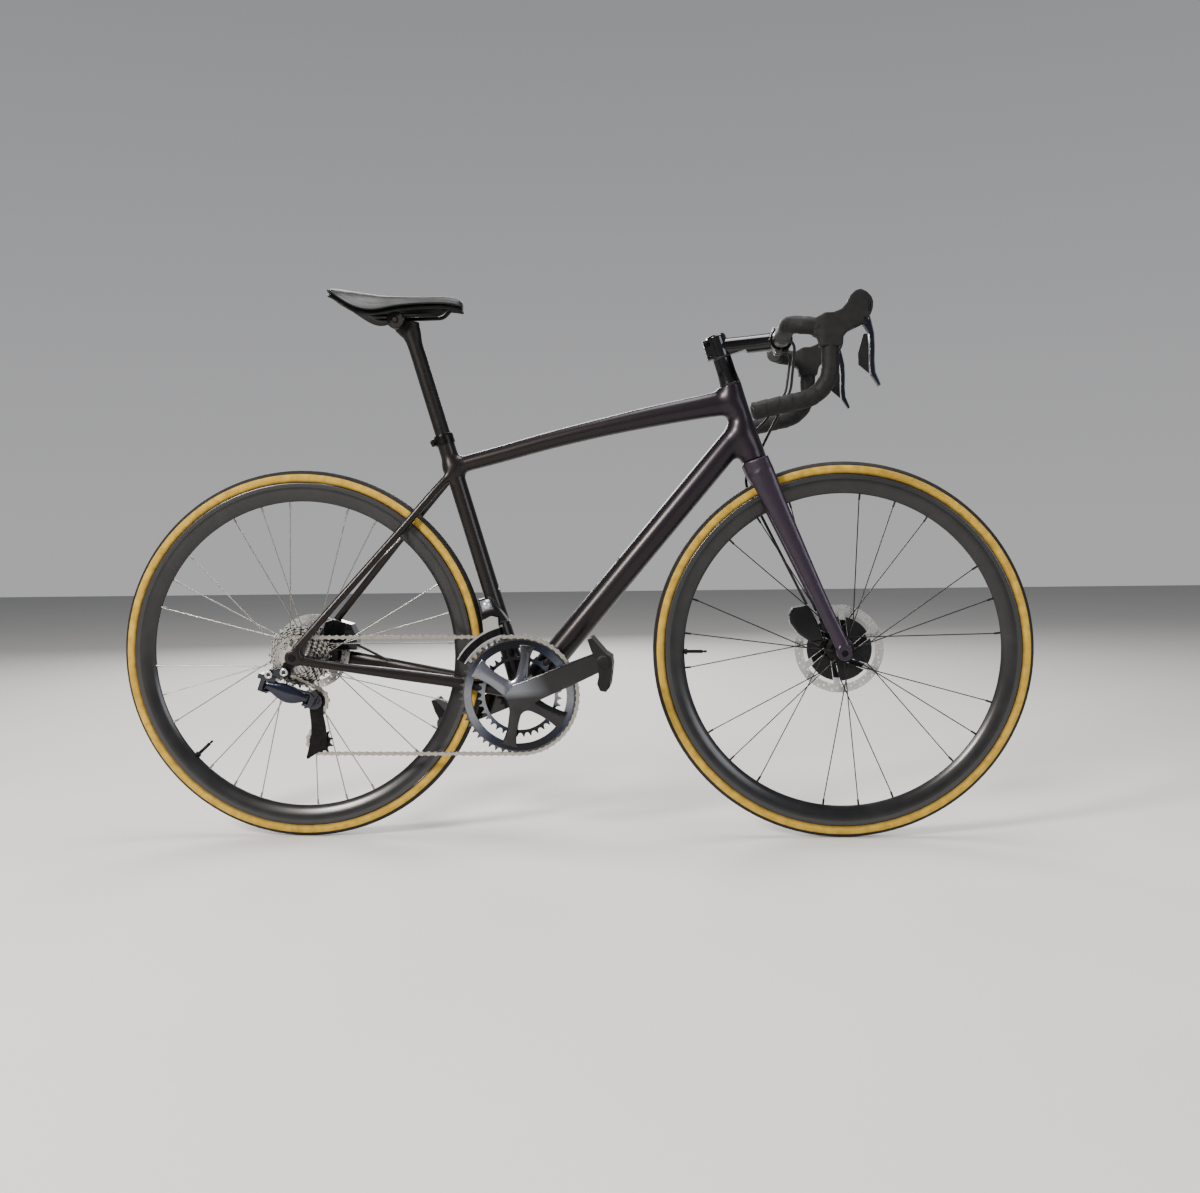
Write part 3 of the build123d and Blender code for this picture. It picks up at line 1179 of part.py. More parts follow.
def saddle_layer(top_gap, bottom_gap, inset):
    """A cushion-shaped layer between two depths below the saddle's top."""
    faces = []
    for x, half, top, drop in saddle_line:
        w = half - inset
        upper = [
            (x, -w, top - top_gap - drop), (x, -0.62 * w, top - top_gap - 0.22 * drop),
            (x, 0, top - top_gap), (x, 0.62 * w, top - top_gap - 0.22 * drop),
            (x, w, top - top_gap - drop),
        ]
        v = w - 1.5
        lower = [
            (x, v, top - bottom_gap - drop), (x, 0.62 * v, top - bottom_gap - 0.3 * drop),
            (x, 0, top - bottom_gap), (x, -0.62 * v, top - bottom_gap - 0.3 * drop),
            (x, -v, top - bottom_gap - drop),
        ]
        edges = Spline(*upper) + Line(upper[-1], lower[0]) + Spline(*lower) + Line(lower[-1], upper[0])
        faces.append(make_face(edges))
    return loft(faces)


cover = saddle_layer(0.0, 11.0, 0.0)
shell = saddle_layer(11.3, 15.0, 1.0)
shell += Pos(-205, 0, 961.5) * Box(14, 26, 9)
shell += Pos(-386, 22, 971.0) * Box(14, 12, 10) + Pos(-386, -22, 971.0) * Box(14, 12, 10)
shell = shell - cover - rails
save("saddle_rails", *rails)
save("saddle_cover", cover)
save("saddle_shell", max(shell.solids(), key=lambda s: s.volume))
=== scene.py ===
import bpy
import bmesh
import math
import numpy as np
from mathutils import Matrix, Vector


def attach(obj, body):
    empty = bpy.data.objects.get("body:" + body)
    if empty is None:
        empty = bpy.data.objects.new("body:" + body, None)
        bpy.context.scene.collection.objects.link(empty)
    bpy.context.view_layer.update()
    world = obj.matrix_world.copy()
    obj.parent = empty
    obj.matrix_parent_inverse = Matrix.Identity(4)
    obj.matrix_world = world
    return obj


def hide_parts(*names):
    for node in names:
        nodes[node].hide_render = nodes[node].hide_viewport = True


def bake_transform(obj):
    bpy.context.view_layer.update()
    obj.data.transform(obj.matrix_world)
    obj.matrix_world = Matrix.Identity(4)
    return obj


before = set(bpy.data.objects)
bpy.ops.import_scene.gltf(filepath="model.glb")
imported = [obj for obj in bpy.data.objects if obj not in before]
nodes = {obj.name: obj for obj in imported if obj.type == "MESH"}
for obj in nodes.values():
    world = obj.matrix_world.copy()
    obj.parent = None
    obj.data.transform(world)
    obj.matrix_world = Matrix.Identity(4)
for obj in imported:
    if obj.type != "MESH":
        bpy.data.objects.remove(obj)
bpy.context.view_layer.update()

MM = 0.001
ACROSS = (0, 1, 0)
STEERING = "steering_assembly"
REAR_HUB = (-0.489, 0.0, 0.337)
FRONT_HUB = (0.489, 0.0, 0.337)
CRANK = (-0.086, 0.0, 0.265)
CRANK_TURN = 23.0
HEAD_BASE = Vector((0.3363, 0.0, 0.679))
HEAD_UP = Vector((-math.cos(math.radians(73.0)), 0.0, math.sin(math.radians(73.0))))
HEAD_FORWARD = Vector((HEAD_UP.z, 0.0, -HEAD_UP.x))
SEAT_UP = Vector((-math.cos(math.radians(73.7)), 0.0, math.sin(math.radians(73.7))))
SEAT_FORWARD = Vector((SEAT_UP.z, 0.0, -SEAT_UP.x))


def head_point(along, forward=0.0, left=0.0):
    """A point up the steering axis and ahead of it, in millimetres."""
    p = HEAD_BASE + (HEAD_UP * along + HEAD_FORWARD * forward) * MM
    return (p.x, left * MM, p.z)


def seat_point(along, forward=0.0):
    """A point up the seat tube and ahead of it, in millimetres."""
    p = Vector(CRANK) + (SEAT_UP * along + SEAT_FORWARD * forward) * MM
    return (p.x, 0.0, p.z)


def add_to_scene(thing):
    bpy.context.scene.collection.objects.link(thing)


# ---- materials
class Paint:
    """A procedural material under construction, laid out in the shared frame's metres."""

    def __init__(self, name, roughness, metallic=0.0, **sockets):
        self.material = bpy.data.materials.new(name)
        self.material.use_nodes = True
        self.tree = self.material.node_tree
        self.shader = self.tree.nodes["Principled BSDF"]
        self.shader.inputs["Roughness"].default_value = roughness
        self.shader.inputs["Metallic"].default_value = metallic
        self.shader.inputs["Specular IOR Level"].default_value = 0.22 if metallic < 0.6 else 0.5
        for key, value in sockets.items():
            self.shader.inputs[key.replace("_", " ")].default_value = value
        self.place = self.add("ShaderNodeTexCoord").outputs["Object"]

    def add(self, kind, **settings):
        made = self.tree.nodes.new(kind)
        for key, value in settings.items():
            setattr(made, key, value)
        return made

    def feed(self, socket, value):
        if isinstance(value, bpy.types.NodeSocket):
            self.tree.links.new(value, socket)
        else:
            socket.default_value = value

    def math(self, operation, a, b=0.0):
        made = self.add("ShaderNodeMath", operation=operation)
        self.feed(made.inputs[0], a)
        self.feed(made.inputs[1], b)
        return made.outputs[0]

    def plus(self, a, b):
        return self.math("ADD", a, b)

    def minus(self, a, b):
        return self.math("SUBTRACT", a, b)

    def times(self, a, b):
        return self.math("MULTIPLY", a, b)

    def wave(self, a):
        return self.math("SINE", a)

    def flipped(self, share):
        return self.math("SUBTRACT", 1.0, share)

    def noise(self, scale, detail=3.0, stretch=(1, 1, 1), place=None):
        mapping = self.add("ShaderNodeMapping")
        mapping.inputs["Scale"].default_value = stretch
        self.feed(mapping.inputs["Vector"], place or self.place)
        made = self.add("ShaderNodeTexNoise")
        made.inputs["Scale"].default_value = scale
        made.inputs["Detail"].default_value = detail
        self.feed(made.inputs["Vector"], mapping.outputs[0])
        return made.outputs["Fac"]

    def cells(self, scale):
        made = self.add("ShaderNodeTexVoronoi")
        made.inputs["Scale"].default_value = scale
        self.feed(made.inputs["Vector"], self.place)
        return made.outputs["Distance"]

    def axes(self):
        split = self.add("ShaderNodeSeparateXYZ")
        self.feed(split.inputs[0], self.place)
        return split.outputs[0], split.outputs[1], split.outputs[2]

    def around(self, centre):
        """Distance from, and angle about, an axle that runs along Y."""
        x, _, z = self.axes()
        dx = self.minus(x, centre[0])
        dz = self.minus(z, centre[2])
        square = self.plus(self.times(dx, dx), self.times(dz, dz))
        return self.math("SQRT", square), self.math("ARCTAN2", dz, dx)

    def ramp(self, value, *stops):
        made = self.add("ShaderNodeValToRGB")
        band = made.color_ramp
        while len(band.elements) < len(stops):
            band.elements.new(0.5)
        for element, (at, colour) in zip(band.elements, stops):
            element.position = at
            element.color = (*colour, 1.0)
        self.feed(made.inputs[0], value)
        return made.outputs[0]

    def tones(self, scale, detail, dark, light, low=0.3, high=0.7):
        """Noise that runs from a dark to a light colour."""
        return self.ramp(self.noise(scale, detail), (low, dark), (high, light))

    def mix(self, share, a, b):
        made = self.add("ShaderNodeMix", data_type="RGBA")
        self.feed(made.inputs[0], share)
        self.feed(made.inputs[6], a if isinstance(a, bpy.types.NodeSocket) else (*a, 1.0))
        self.feed(made.inputs[7], b if isinstance(b, bpy.types.NodeSocket) else (*b, 1.0))
        return made.outputs[2]

    def step(self, value, low, high):
        made = self.add("ShaderNodeMapRange")
        self.feed(made.inputs[0], value)
        made.inputs[1].default_value = low
        made.inputs[2].default_value = high
        return made.outputs[0]

    def facing_side(self):
        """1 on faces that look along Y, 0 on edges between them."""
        split = self.add("ShaderNodeSeparateXYZ")
        self.feed(split.inputs[0], self.add("ShaderNodeNewGeometry").outputs["Normal"])
        return self.step(self.math("ABSOLUTE", split.outputs[1]), 0.6, 0.9)

    def colour(self, value):
        self.feed(self.shader.inputs["Base Color"], value)

    def roughness(self, value, low, high):
        made = self.add("ShaderNodeMapRange")
        self.feed(made.inputs[0], value)
        made.inputs[3].default_value = low
        made.inputs[4].default_value = high
        self.feed(self.shader.inputs["Roughness"], made.outputs[0])

    def bump(self, height, depth, strength):
        made = self.add("ShaderNodeBump")
        made.inputs["Distance"].default_value = depth
        made.inputs["Strength"].default_value = strength
        self.feed(made.inputs["Height"], height)
        self.feed(self.shader.inputs["Normal"], made.outputs[0])


def lacquer(name, warm, cool, split):
    """Satin colour-shifting paint: warm brown that turns violet along the bicycle."""
    p = Paint(name, 0.38, 0.55, Coat_Weight=0.22, Coat_Roughness=0.24)
    x, _, z = p.axes()
    drift = p.noise(3.0, 2.0)
    share = p.step(p.plus(x, p.times(drift, 0.3)), split - 0.25, split + 0.3)
    flakes = p.noise(2600.0, 1.0)
    base = p.mix(share, warm, cool)
    glint = p.mix(share, tuple(c * 2.6 for c in warm), tuple(c * 2.8 for c in cool))
    p.colour(p.mix(p.step(flakes, 0.52, 0.74), base, glint))
    p.roughness(p.noise(60.0, 4.0), 0.33, 0.45)
    p.bump(p.noise(900.0, 2.0), 0.00003, 0.5)
    return p.material


def anodised(name, dark, light, roughness, metallic=0.85):
    p = Paint(name, roughness, metallic)
    p.colour(p.tones(180.0, 5.0, dark, light, high=0.75))
    p.roughness(p.noise(45.0, 4.0), roughness * 0.8, roughness * 1.25)
    p.bump(p.noise(2200.0, 2.0), 0.00004, 0.4)
    return p.material


def glossy_navy(name, dark, light):
    """Gloss-painted alloy with a painted highlight: its bevels fade to pale grey."""
    p = Paint(name, 0.2, 0.8, Coat_Weight=0.6, Coat_Roughness=0.08)
    edge = p.add("ShaderNodeNewGeometry").outputs["Pointiness"]
    # painted highlight: bevels, found by pointiness, turn pale grey
    p.colour(p.mix(p.step(edge, 0.53, 0.62), p.tones(24.0, 3.0, dark, light, low=0.35), (0.35, 0.36, 0.4)))
    p.roughness(p.noise(70.0, 4.0), 0.14, 0.3)
    p.bump(p.noise(800.0, 2.0), 0.00003, 0.3)
    return p.material


def bright_metal(name, dark, light, roughness, centre=None, shaded_edges=None, carrier=None, steps=None):
    """Plated steel; with a centre it has turning marks, and a black carrier inside that radius."""
    p = Paint(name, roughness, 1.0)
    if centre:
        radius, angle = p.around(centre)
        ring = p.add("ShaderNodeCombineXYZ")
        p.feed(ring.inputs[0], p.times(radius, 2600.0))
        p.feed(ring.inputs[1], p.times(angle, 1.2))
        grain = p.noise(1.0, 3.0, place=ring.outputs[0])
    else:
        grain = p.noise(700.0, 4.0, (1, 0.2, 1))
    tone = p.ramp(grain, (0.3, dark), (0.7, light))
    if shaded_edges:
        shade = tuple(c * shaded_edges for c in dark)
        tone = p.mix(p.facing_side(), shade, tone)
    if carrier:
        outside = p.step(p.around(centre)[0], carrier - 0.0003, carrier + 0.0003)
        tone = p.mix(outside, (0.012, 0.012, 0.013), tone)
    if steps:
        first, pitch = steps
        # painted shade: near-black windows in the sprocket faces, where their cut-outs would show shade
        place = p.math("FRACT", p.math("DIVIDE", p.minus(radius, first), pitch))
        painted_shade_hollow = p.times(p.step(place, 0.12, 0.2), p.flipped(p.step(place, 0.62, 0.7)))
        arm = p.wave(p.plus(p.times(angle, 19.0), p.times(radius, 900.0)))
        painted_shade_hollow = p.times(painted_shade_hollow, p.step(arm, -0.6, -0.35))
        painted_shade_hollow = p.times(painted_shade_hollow, p.step(radius, first - 0.0003, first))
        tone = p.mix(painted_shade_hollow, tone, (0.012, 0.012, 0.012))
    p.colour(tone)
    p.roughness(p.noise(120.0, 4.0), roughness * 0.7, roughness * 1.4)
    p.bump(grain, 0.00004, 0.5)
    return p.material


def moulded(name, dark, light, roughness, grain=1600.0):
    """Moulded plastic or rubber with a fine spark texture."""
    p = Paint(name, roughness, 0.0)
    p.colour(p.tones(90.0, 5.0, dark, light, high=0.75))
    p.roughness(p.noise(40.0, 3.0), roughness * 0.85, min(1.0, roughness * 1.15))
    p.bump(p.cells(grain), 0.00008, 0.5)
    return p.material


def carbon_rim(name, centre):
    """Satin carbon with a faint woven layer and a smoother band by the tyre."""
    p = Paint(name, 0.4, 0.15, Coat_Weight=0.5, Coat_Roughness=0.22)
    radius, angle = p.around(centre)
    a = p.wave(p.plus(p.times(angle, 640.0), p.times(radius, 2600.0)))
    b = p.wave(p.minus(p.times(angle, 640.0), p.times(radius, 2600.0)))
    weave = p.times(a, b)
    body = p.ramp(p.plus(p.times(weave, 0.12), p.noise(30.0, 4.0)),
                  (0.3, (0.0045, 0.0045, 0.005)), (0.8, (0.012, 0.012, 0.0135)))
    band = p.tones(400.0, 3.0, (0.016, 0.0168, 0.018), (0.028, 0.029, 0.031))
    share = p.times(p.step(radius, 0.3055, 0.3065), p.flipped(p.step(radius, 0.3142, 0.3144)))
    p.colour(p.mix(share, body, band))
    p.roughness(weave, 0.3, 0.42)
    p.bump(weave, 0.00002, 0.3)
    return p.material


def tyre_rubber(name, centre):
    """Tan cotton side wall with its thread showing, and a black tread with fine cuts."""
    p = Paint(name, 0.7)
    radius, angle = p.around(centre)
    _, y, _ = p.axes()
    side = p.math("ABSOLUTE", y)
    turn = p.times(angle, 1100.0)
    slope = p.times(radius, 3600.0)
    threads = p.times(p.wave(p.plus(turn, slope)), p.wave(p.minus(turn, slope)))
    patches = p.plus(p.times(threads, 0.1), p.noise(70.0, 5.0))
    dark_tan, mid_tan, light_tan = (0.25, 0.150, 0.016), (0.39, 0.245, 0.028), (0.49, 0.325, 0.048)
    tan = p.ramp(patches, (0.25, dark_tan), (0.55, mid_tan), (0.8, light_tan))
    foot = p.ramp(radius, (0.3150, (0.10, 0.06, 0.03)), (0.3185, (1.0, 1.0, 1.0)))
    wall = p.add("ShaderNodeMix", data_type="RGBA", blend_type="MULTIPLY")
    wall.inputs[0].default_value = 1.0
    p.feed(wall.inputs[6], tan)
    p.feed(wall.inputs[7], foot)
    black = p.tones(200.0, 4.0, (0.006, 0.0056, 0.0052), (0.014, 0.013, 0.012))
    edge = p.plus(side, p.times(p.wave(p.times(angle, 420.0)), 0.00012))
    tread = p.times(p.step(radius, 0.3292, 0.3297), p.flipped(p.step(edge, 0.0111, 0.0114)))
    p.colour(p.mix(tread, wall.outputs[2], black))
    p.roughness(p.noise(90.0, 3.0), 0.55, 0.8)
    cuts = p.wave(p.plus(p.times(angle, 520.0), p.times(side, 700.0)))
    cuts = p.times(p.step(cuts, 0.55, 0.8), tread)
    p.bump(p.minus(p.times(threads, 0.3), cuts), 0.00025, 0.7)
    return p.material


def grip_wrap(name):
    """Cushioned handlebar wrap with a soft grain and rows of small dents."""
    p = Paint(name, 0.62)
    p.colour(p.tones(130.0, 5.0, (0.0025, 0.0025, 0.0027), (0.0085, 0.0082, 0.0085), high=0.75))
    p.roughness(p.noise(60.0, 3.0), 0.5, 0.75)
    dents = p.step(p.cells(330.0), 0.18, 0.34)
    p.bump(p.plus(dents, p.times(p.noise(1500.0, 3.0), 0.4)), 0.00028, 0.6)
    return p.material


def saddle_skin(name):
    """Smooth synthetic leather with fine pores."""
    p = Paint(name, 0.42)
    p.colour(p.tones(110.0, 5.0, (0.003, 0.003, 0.0036), (0.009, 0.009, 0.0105), high=0.75))
    p.roughness(p.noise(35.0, 4.0), 0.33, 0.52)
    p.bump(p.plus(p.cells(900.0), p.times(p.noise(2500.0, 2.0), 0.3)), 0.00012, 0.6)
    return p.material


def crank_finish(name):
    """Gloss black with a painted highlight on the upper side of the face near the crank's centre, and painted
    highlights along its edges.
    """
    p = Paint(name, 0.2, 0.9, Coat_Weight=0.6, Coat_Roughness=0.08)
    x, y, z = p.axes()
    dx = p.minus(x, CRANK[0])
    dz = p.minus(z, CRANK[2])
    c, s = math.cos(math.radians(CRANK_TURN)), math.sin(math.radians(CRANK_TURN))
    along = p.plus(p.times(dx, c), p.times(dz, s))
    across = p.minus(p.times(dz, c), p.times(dx, s))
    # painted highlight: a pale patch on the upper side of the face near the crank's centre
    drift = p.times(p.noise(25.0, 3.0), 0.008)
    near = p.flipped(p.step(p.plus(along, drift), 0.012, 0.062))
    above = p.step(p.plus(across, p.times(along, 0.35)), -0.004, 0.010)
    share = p.times(p.times(near, above), p.step(y, -0.0500, -0.0530))
    # painted highlight: pale grey along the edges, found by pointiness
    edge = p.step(p.add("ShaderNodeNewGeometry").outputs["Pointiness"], 0.54, 0.66)
    black = p.tones(50.0, 4.0, (0.004, 0.004, 0.0055), (0.011, 0.011, 0.014))
    black = p.mix(edge, black, (0.10, 0.10, 0.11))
    p.colour(p.mix(share, black, (0.15, 0.16, 0.19)))
    p.roughness(p.noise(70.0, 4.0), 0.16, 0.3)
    p.bump(p.noise(1400.0, 2.0), 0.00003, 0.3)
    return p.material


def shift_cage(name):
    """Black plate with bright rims at its inner and outer edges."""
    p = Paint(name, 0.3, 0.9)
    radius, _ = p.around(CRANK)
    outer = p.step(radius, 0.1258, 0.1264)
    inner = p.flipped(p.step(radius, 0.1128, 0.1134))
    rim = p.math("MAXIMUM", outer, inner)
    dark = p.tones(160.0, 4.0, (0.004, 0.004, 0.005), (0.014, 0.014, 0.016))
    p.colour(p.mix(rim, dark, (0.42, 0.42, 0.42)))
    p.roughness(p.noise(90.0, 4.0), 0.22, 0.4)
    p.bump(p.noise(1200.0, 3.0), 0.00003, 0.4)
    return p.material


def ring_finish(name):
    """Outer ring with a painted reflection: its face runs from bright metal through navy to black, in two
    opposite bright lobes around the ring.
    """
    p = Paint(name, 0.26, 0.95, Coat_Weight=0.3, Coat_Roughness=0.15)
    radius, angle = p.around(CRANK)
    # painted reflection: brightness follows twice the angle about the crank
    painted_reflection_sweep = p.wave(p.plus(p.times(angle, -2.0), 1.9))
    painted_reflection_sweep = p.plus(p.times(painted_reflection_sweep, 0.5), 0.5)
    black, blue = (0.005, 0.006, 0.010), (0.012, 0.016, 0.034)
    dull, bright = (0.06, 0.07, 0.10), (0.18, 0.19, 0.22)
    face = p.ramp(painted_reflection_sweep, (0.10, black), (0.45, blue), (0.72, dull), (0.95, bright))
    teeth = p.tones(300.0, 4.0, (0.03, 0.03, 0.032), (0.09, 0.09, 0.095))
    p.colour(p.mix(p.step(radius, 0.0985, 0.0990), face, teeth))
    p.roughness(p.noise(80.0, 4.0), 0.2, 0.36)
    p.bump(p.wave(p.times(radius, 9000.0)), 0.00001, 0.3)
    return p.material


frame_paint = lacquer("frame_paint", (0.0080, 0.0063, 0.0061), (0.0100, 0.0066, 0.0110), 0.25)
fork_paint = lacquer("fork_paint", (0.0165, 0.0125, 0.0165), (0.0200, 0.0135, 0.0240), 0.33)
black_alloy = anodised("black_alloy", (0.004, 0.004, 0.0045), (0.012, 0.012, 0.0125), 0.34)
black_matte_alloy = anodised("black_matte_alloy", (0.0055, 0.005, 0.005), (0.012, 0.011, 0.011), 0.45, 0.5)
black_gloss = glossy_navy("black_gloss", (0.003, 0.003, 0.004), (0.009, 0.009, 0.011))
navy = glossy_navy("navy_gloss", (0.003, 0.004, 0.010), (0.010, 0.013, 0.032))
steel = bright_metal("plated_steel", (0.36, 0.36, 0.35), (0.62, 0.62, 0.60), 0.3)
chain_steel = bright_metal("chain_steel", (0.22, 0.21, 0.19), (0.50, 0.48, 0.44), 0.3, None, 0.1)
cog_steel = bright_metal(
    "cog_steel", (0.30, 0.30, 0.29), (0.60, 0.60, 0.58), 0.3, REAR_HUB, 0.12, steps=(0.0303, 0.00404),
)
front_disc = bright_metal("front_disc", (0.36, 0.36, 0.35), (0.66, 0.66, 0.64), 0.26, FRONT_HUB, 0.4, 0.053)
rear_disc = bright_metal("rear_disc", (0.36, 0.36, 0.35), (0.66, 0.66, 0.64), 0.26, REAR_HUB, 0.4, 0.046)
dark_steel = bright_metal("dark_spoke_steel", (0.010, 0.010, 0.011), (0.035, 0.035, 0.037), 0.35)
silver_spoke = bright_metal("silver_spoke", (0.16, 0.15, 0.14), (0.34, 0.33, 0.31), 0.3)
plastic = moulded("black_plastic", (0.003, 0.003, 0.0033), (0.009, 0.009, 0.0095), 0.42)
rubber = moulded("black_rubber", (0.003, 0.003, 0.003), (0.0085, 0.0082, 0.008), 0.62, 700.0)
hose_skin = moulded("hose_skin", (0.003, 0.003, 0.003), (0.008, 0.008, 0.008), 0.36, 2400.0)
wrap = grip_wrap("bar_wrap")
skin = saddle_skin("saddle_skin")
crank_paint = crank_finish("crank_paint")
ring_paint = ring_finish("ring_paint")
cage_paint = shift_cage("front_cage_paint")
pale_cover = anodised("pale_cover", (0.34, 0.36, 0.38), (0.52, 0.53, 0.56), 0.3)


# ---- mesh tools
def place(name, mesh, material, body, *stands_for, smooth=True):
    """Put a mesh in the scene, on its body if it rides on one, in place of its CAD nodes."""
    piece = bpy.data.objects.new(name, mesh)
    add_to_scene(piece)
    mesh.materials.clear()
    mesh.materials.append(material)
    for polygon in mesh.polygons:
        polygon.use_smooth = smooth
    if body:
        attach(piece, body)
    if stands_for:
        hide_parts(*stands_for)
    return piece


def mesh_from(name, points, faces):
    mesh = bpy.data.meshes.new(name)
    mesh.from_pydata([tuple(p) for p in points], [], [tuple(f) for f in faces])
    mesh.update()
    return mesh


def baked(source, *modifiers):
    """The mesh that a stack of modifiers makes from a mesh."""
    holder = bpy.data.objects.new("holder", source)
    add_to_scene(holder)
    for kind, settings in modifiers:
        step = holder.modifiers.new(kind.lower(), kind)
        for key, value in settings.items():
            setattr(step, key, value)
    bpy.context.view_layer.update()
    made = bpy.data.meshes.new_from_object(holder.evaluated_get(bpy.context.evaluated_depsgraph_get()))
    bpy.data.objects.remove(holder)
    return made


def welded(mesh):
    """A copy of a mesh with doubled points joined."""
    work = bmesh.new()
    work.from_mesh(mesh)
    bmesh.ops.remove_doubles(work, verts=work.verts, dist=2e-6)
    made = mesh.copy()
    work.to_mesh(made)
    work.free()
    return made


def softened(node, cell, passes, material, body):
    """A CAD piece with every edge and corner rounded, as cast or moulded."""
    mesh = baked(
        welded(nodes[node].data),
        ("REMESH", {"mode": "VOXEL", "voxel_size": cell * MM}),
        ("SMOOTH", {"factor": 0.5, "iterations": passes}),
    )
    name = "hood_skins" if node == "lever_hoods" else node + "_smooth"
    place(name, mesh, material, body, node)


def round_off(*rows):
    """Soften CAD pieces, each given as (node, voxel in mm, smoothing passes, material, body)."""
    for row in rows:
        softened(*row)


def lathe(centre, axis, profile, segments, closed=True):
    """Points and faces of an outline of (radius, along) turned about an axis."""
    axis = Vector(axis).normalized()
    across = axis.orthogonal().normalized()
    other = axis.cross(across)
    count = len(profile)
    points = []
    for k in range(segments):
        a = 2 * math.pi * k / segments
        out = across * math.cos(a) + other * math.sin(a)
        for radius, along in profile:
            points.append(Vector(centre) + out * radius + axis * along)
    faces = []
    for k in range(segments):
        n = (k + 1) % segments
        for i in range(count if closed else count - 1):
            j = (i + 1) % count
            faces.append((k * count + i, n * count + i, n * count + j, k * count + j))
    return points, faces


def arc_path(corners, radii, step):
    """Evenly spaced points along straight runs joined by tangent arcs."""
    corners = [Vector(c) for c in corners]
    line = [corners[0]]
    for before, corner, after, radius in zip(corners, corners[1:], corners[2:], radii):
        into = (corner - before).normalized()
        out = (after - corner).normalized()
        turn = into.angle(out)
        reach = radius * math.tan(turn / 2)
        middle = corner + (out - into).normalized() * (radius / math.cos(turn / 2))
        first = corner - into * reach
        axis = into.cross(out).normalized()
        steps = max(3, int(radius * turn / step))
        for k in range(steps + 1):
            spin = Matrix.Rotation(turn * k / steps, 3, axis)
            line.append(middle + spin @ (first - middle))
    line.append(corners[-1])
    even = [line[0]]
    spare = 0.0
    for a, b in zip(line, line[1:]):
        gap = (b - a).length
        at = step - spare
        while at <= gap:
            even.append(a.lerp(b, at / gap))
            at += step
        spare = gap - (at - step)
    return even


def tube_along(path, radius_at, sides):
    """A closed tube whose radius is a function of (distance, angle)."""
    points = []
    faces = []
    tangent = (path[1] - path[0]).normalized()
    side = tangent.orthogonal().normalized()
    distance = 0.0
    for i, p in enumerate(path):
        ahead = (path[min(i + 1, len(path) - 1)] - path[max(i - 1, 0)]).normalized()
        side = (side - ahead * side.dot(ahead)).normalized()
        up = ahead.cross(side)
        if i:
            distance += (p - path[i - 1]).length
        for k in range(sides):
            a = 2 * math.pi * k / sides
            points.append(p + (side * math.cos(a) + up * math.sin(a)) * radius_at(distance, a))
    last = (len(path) - 1) * sides
    for i in range(len(path) - 1):
        for k in range(sides):
            n = (k + 1) % sides
            faces.append((i * sides + k, i * sides + n, (i + 1) * sides + n, (i + 1) * sides + k))
    faces.append(tuple(range(sides - 1, -1, -1)))
    faces.append(tuple(range(last, last + sides)))
    return points, faces


def eased(table, measure, spacing):
    """Rows of a smooth curve through a table's rows, one for each spacing of their measured gap."""
    rows = np.array(table, float)
    rows = np.vstack([2 * rows[0] - rows[1], rows, 2 * rows[-1] - rows[-2]])
    out = []
    for a, b, c, d in zip(rows, rows[1:], rows[2:], rows[3:]):
        steps = max(2, int(measure(c - b) / spacing))
        for k in range(steps):
            t = k / steps
            bend = (2 * a - 5 * b + 4 * c - d) * t * t + (3 * b - a - 3 * c + d) * t * t * t
            out.append(0.5 * (2 * b + (c - a) * t + bend))
    out.append(rows[-2])
    return np.array(out)


TUBE_STEP = 0.010
FAR = 0.05
BLUR = 0.006


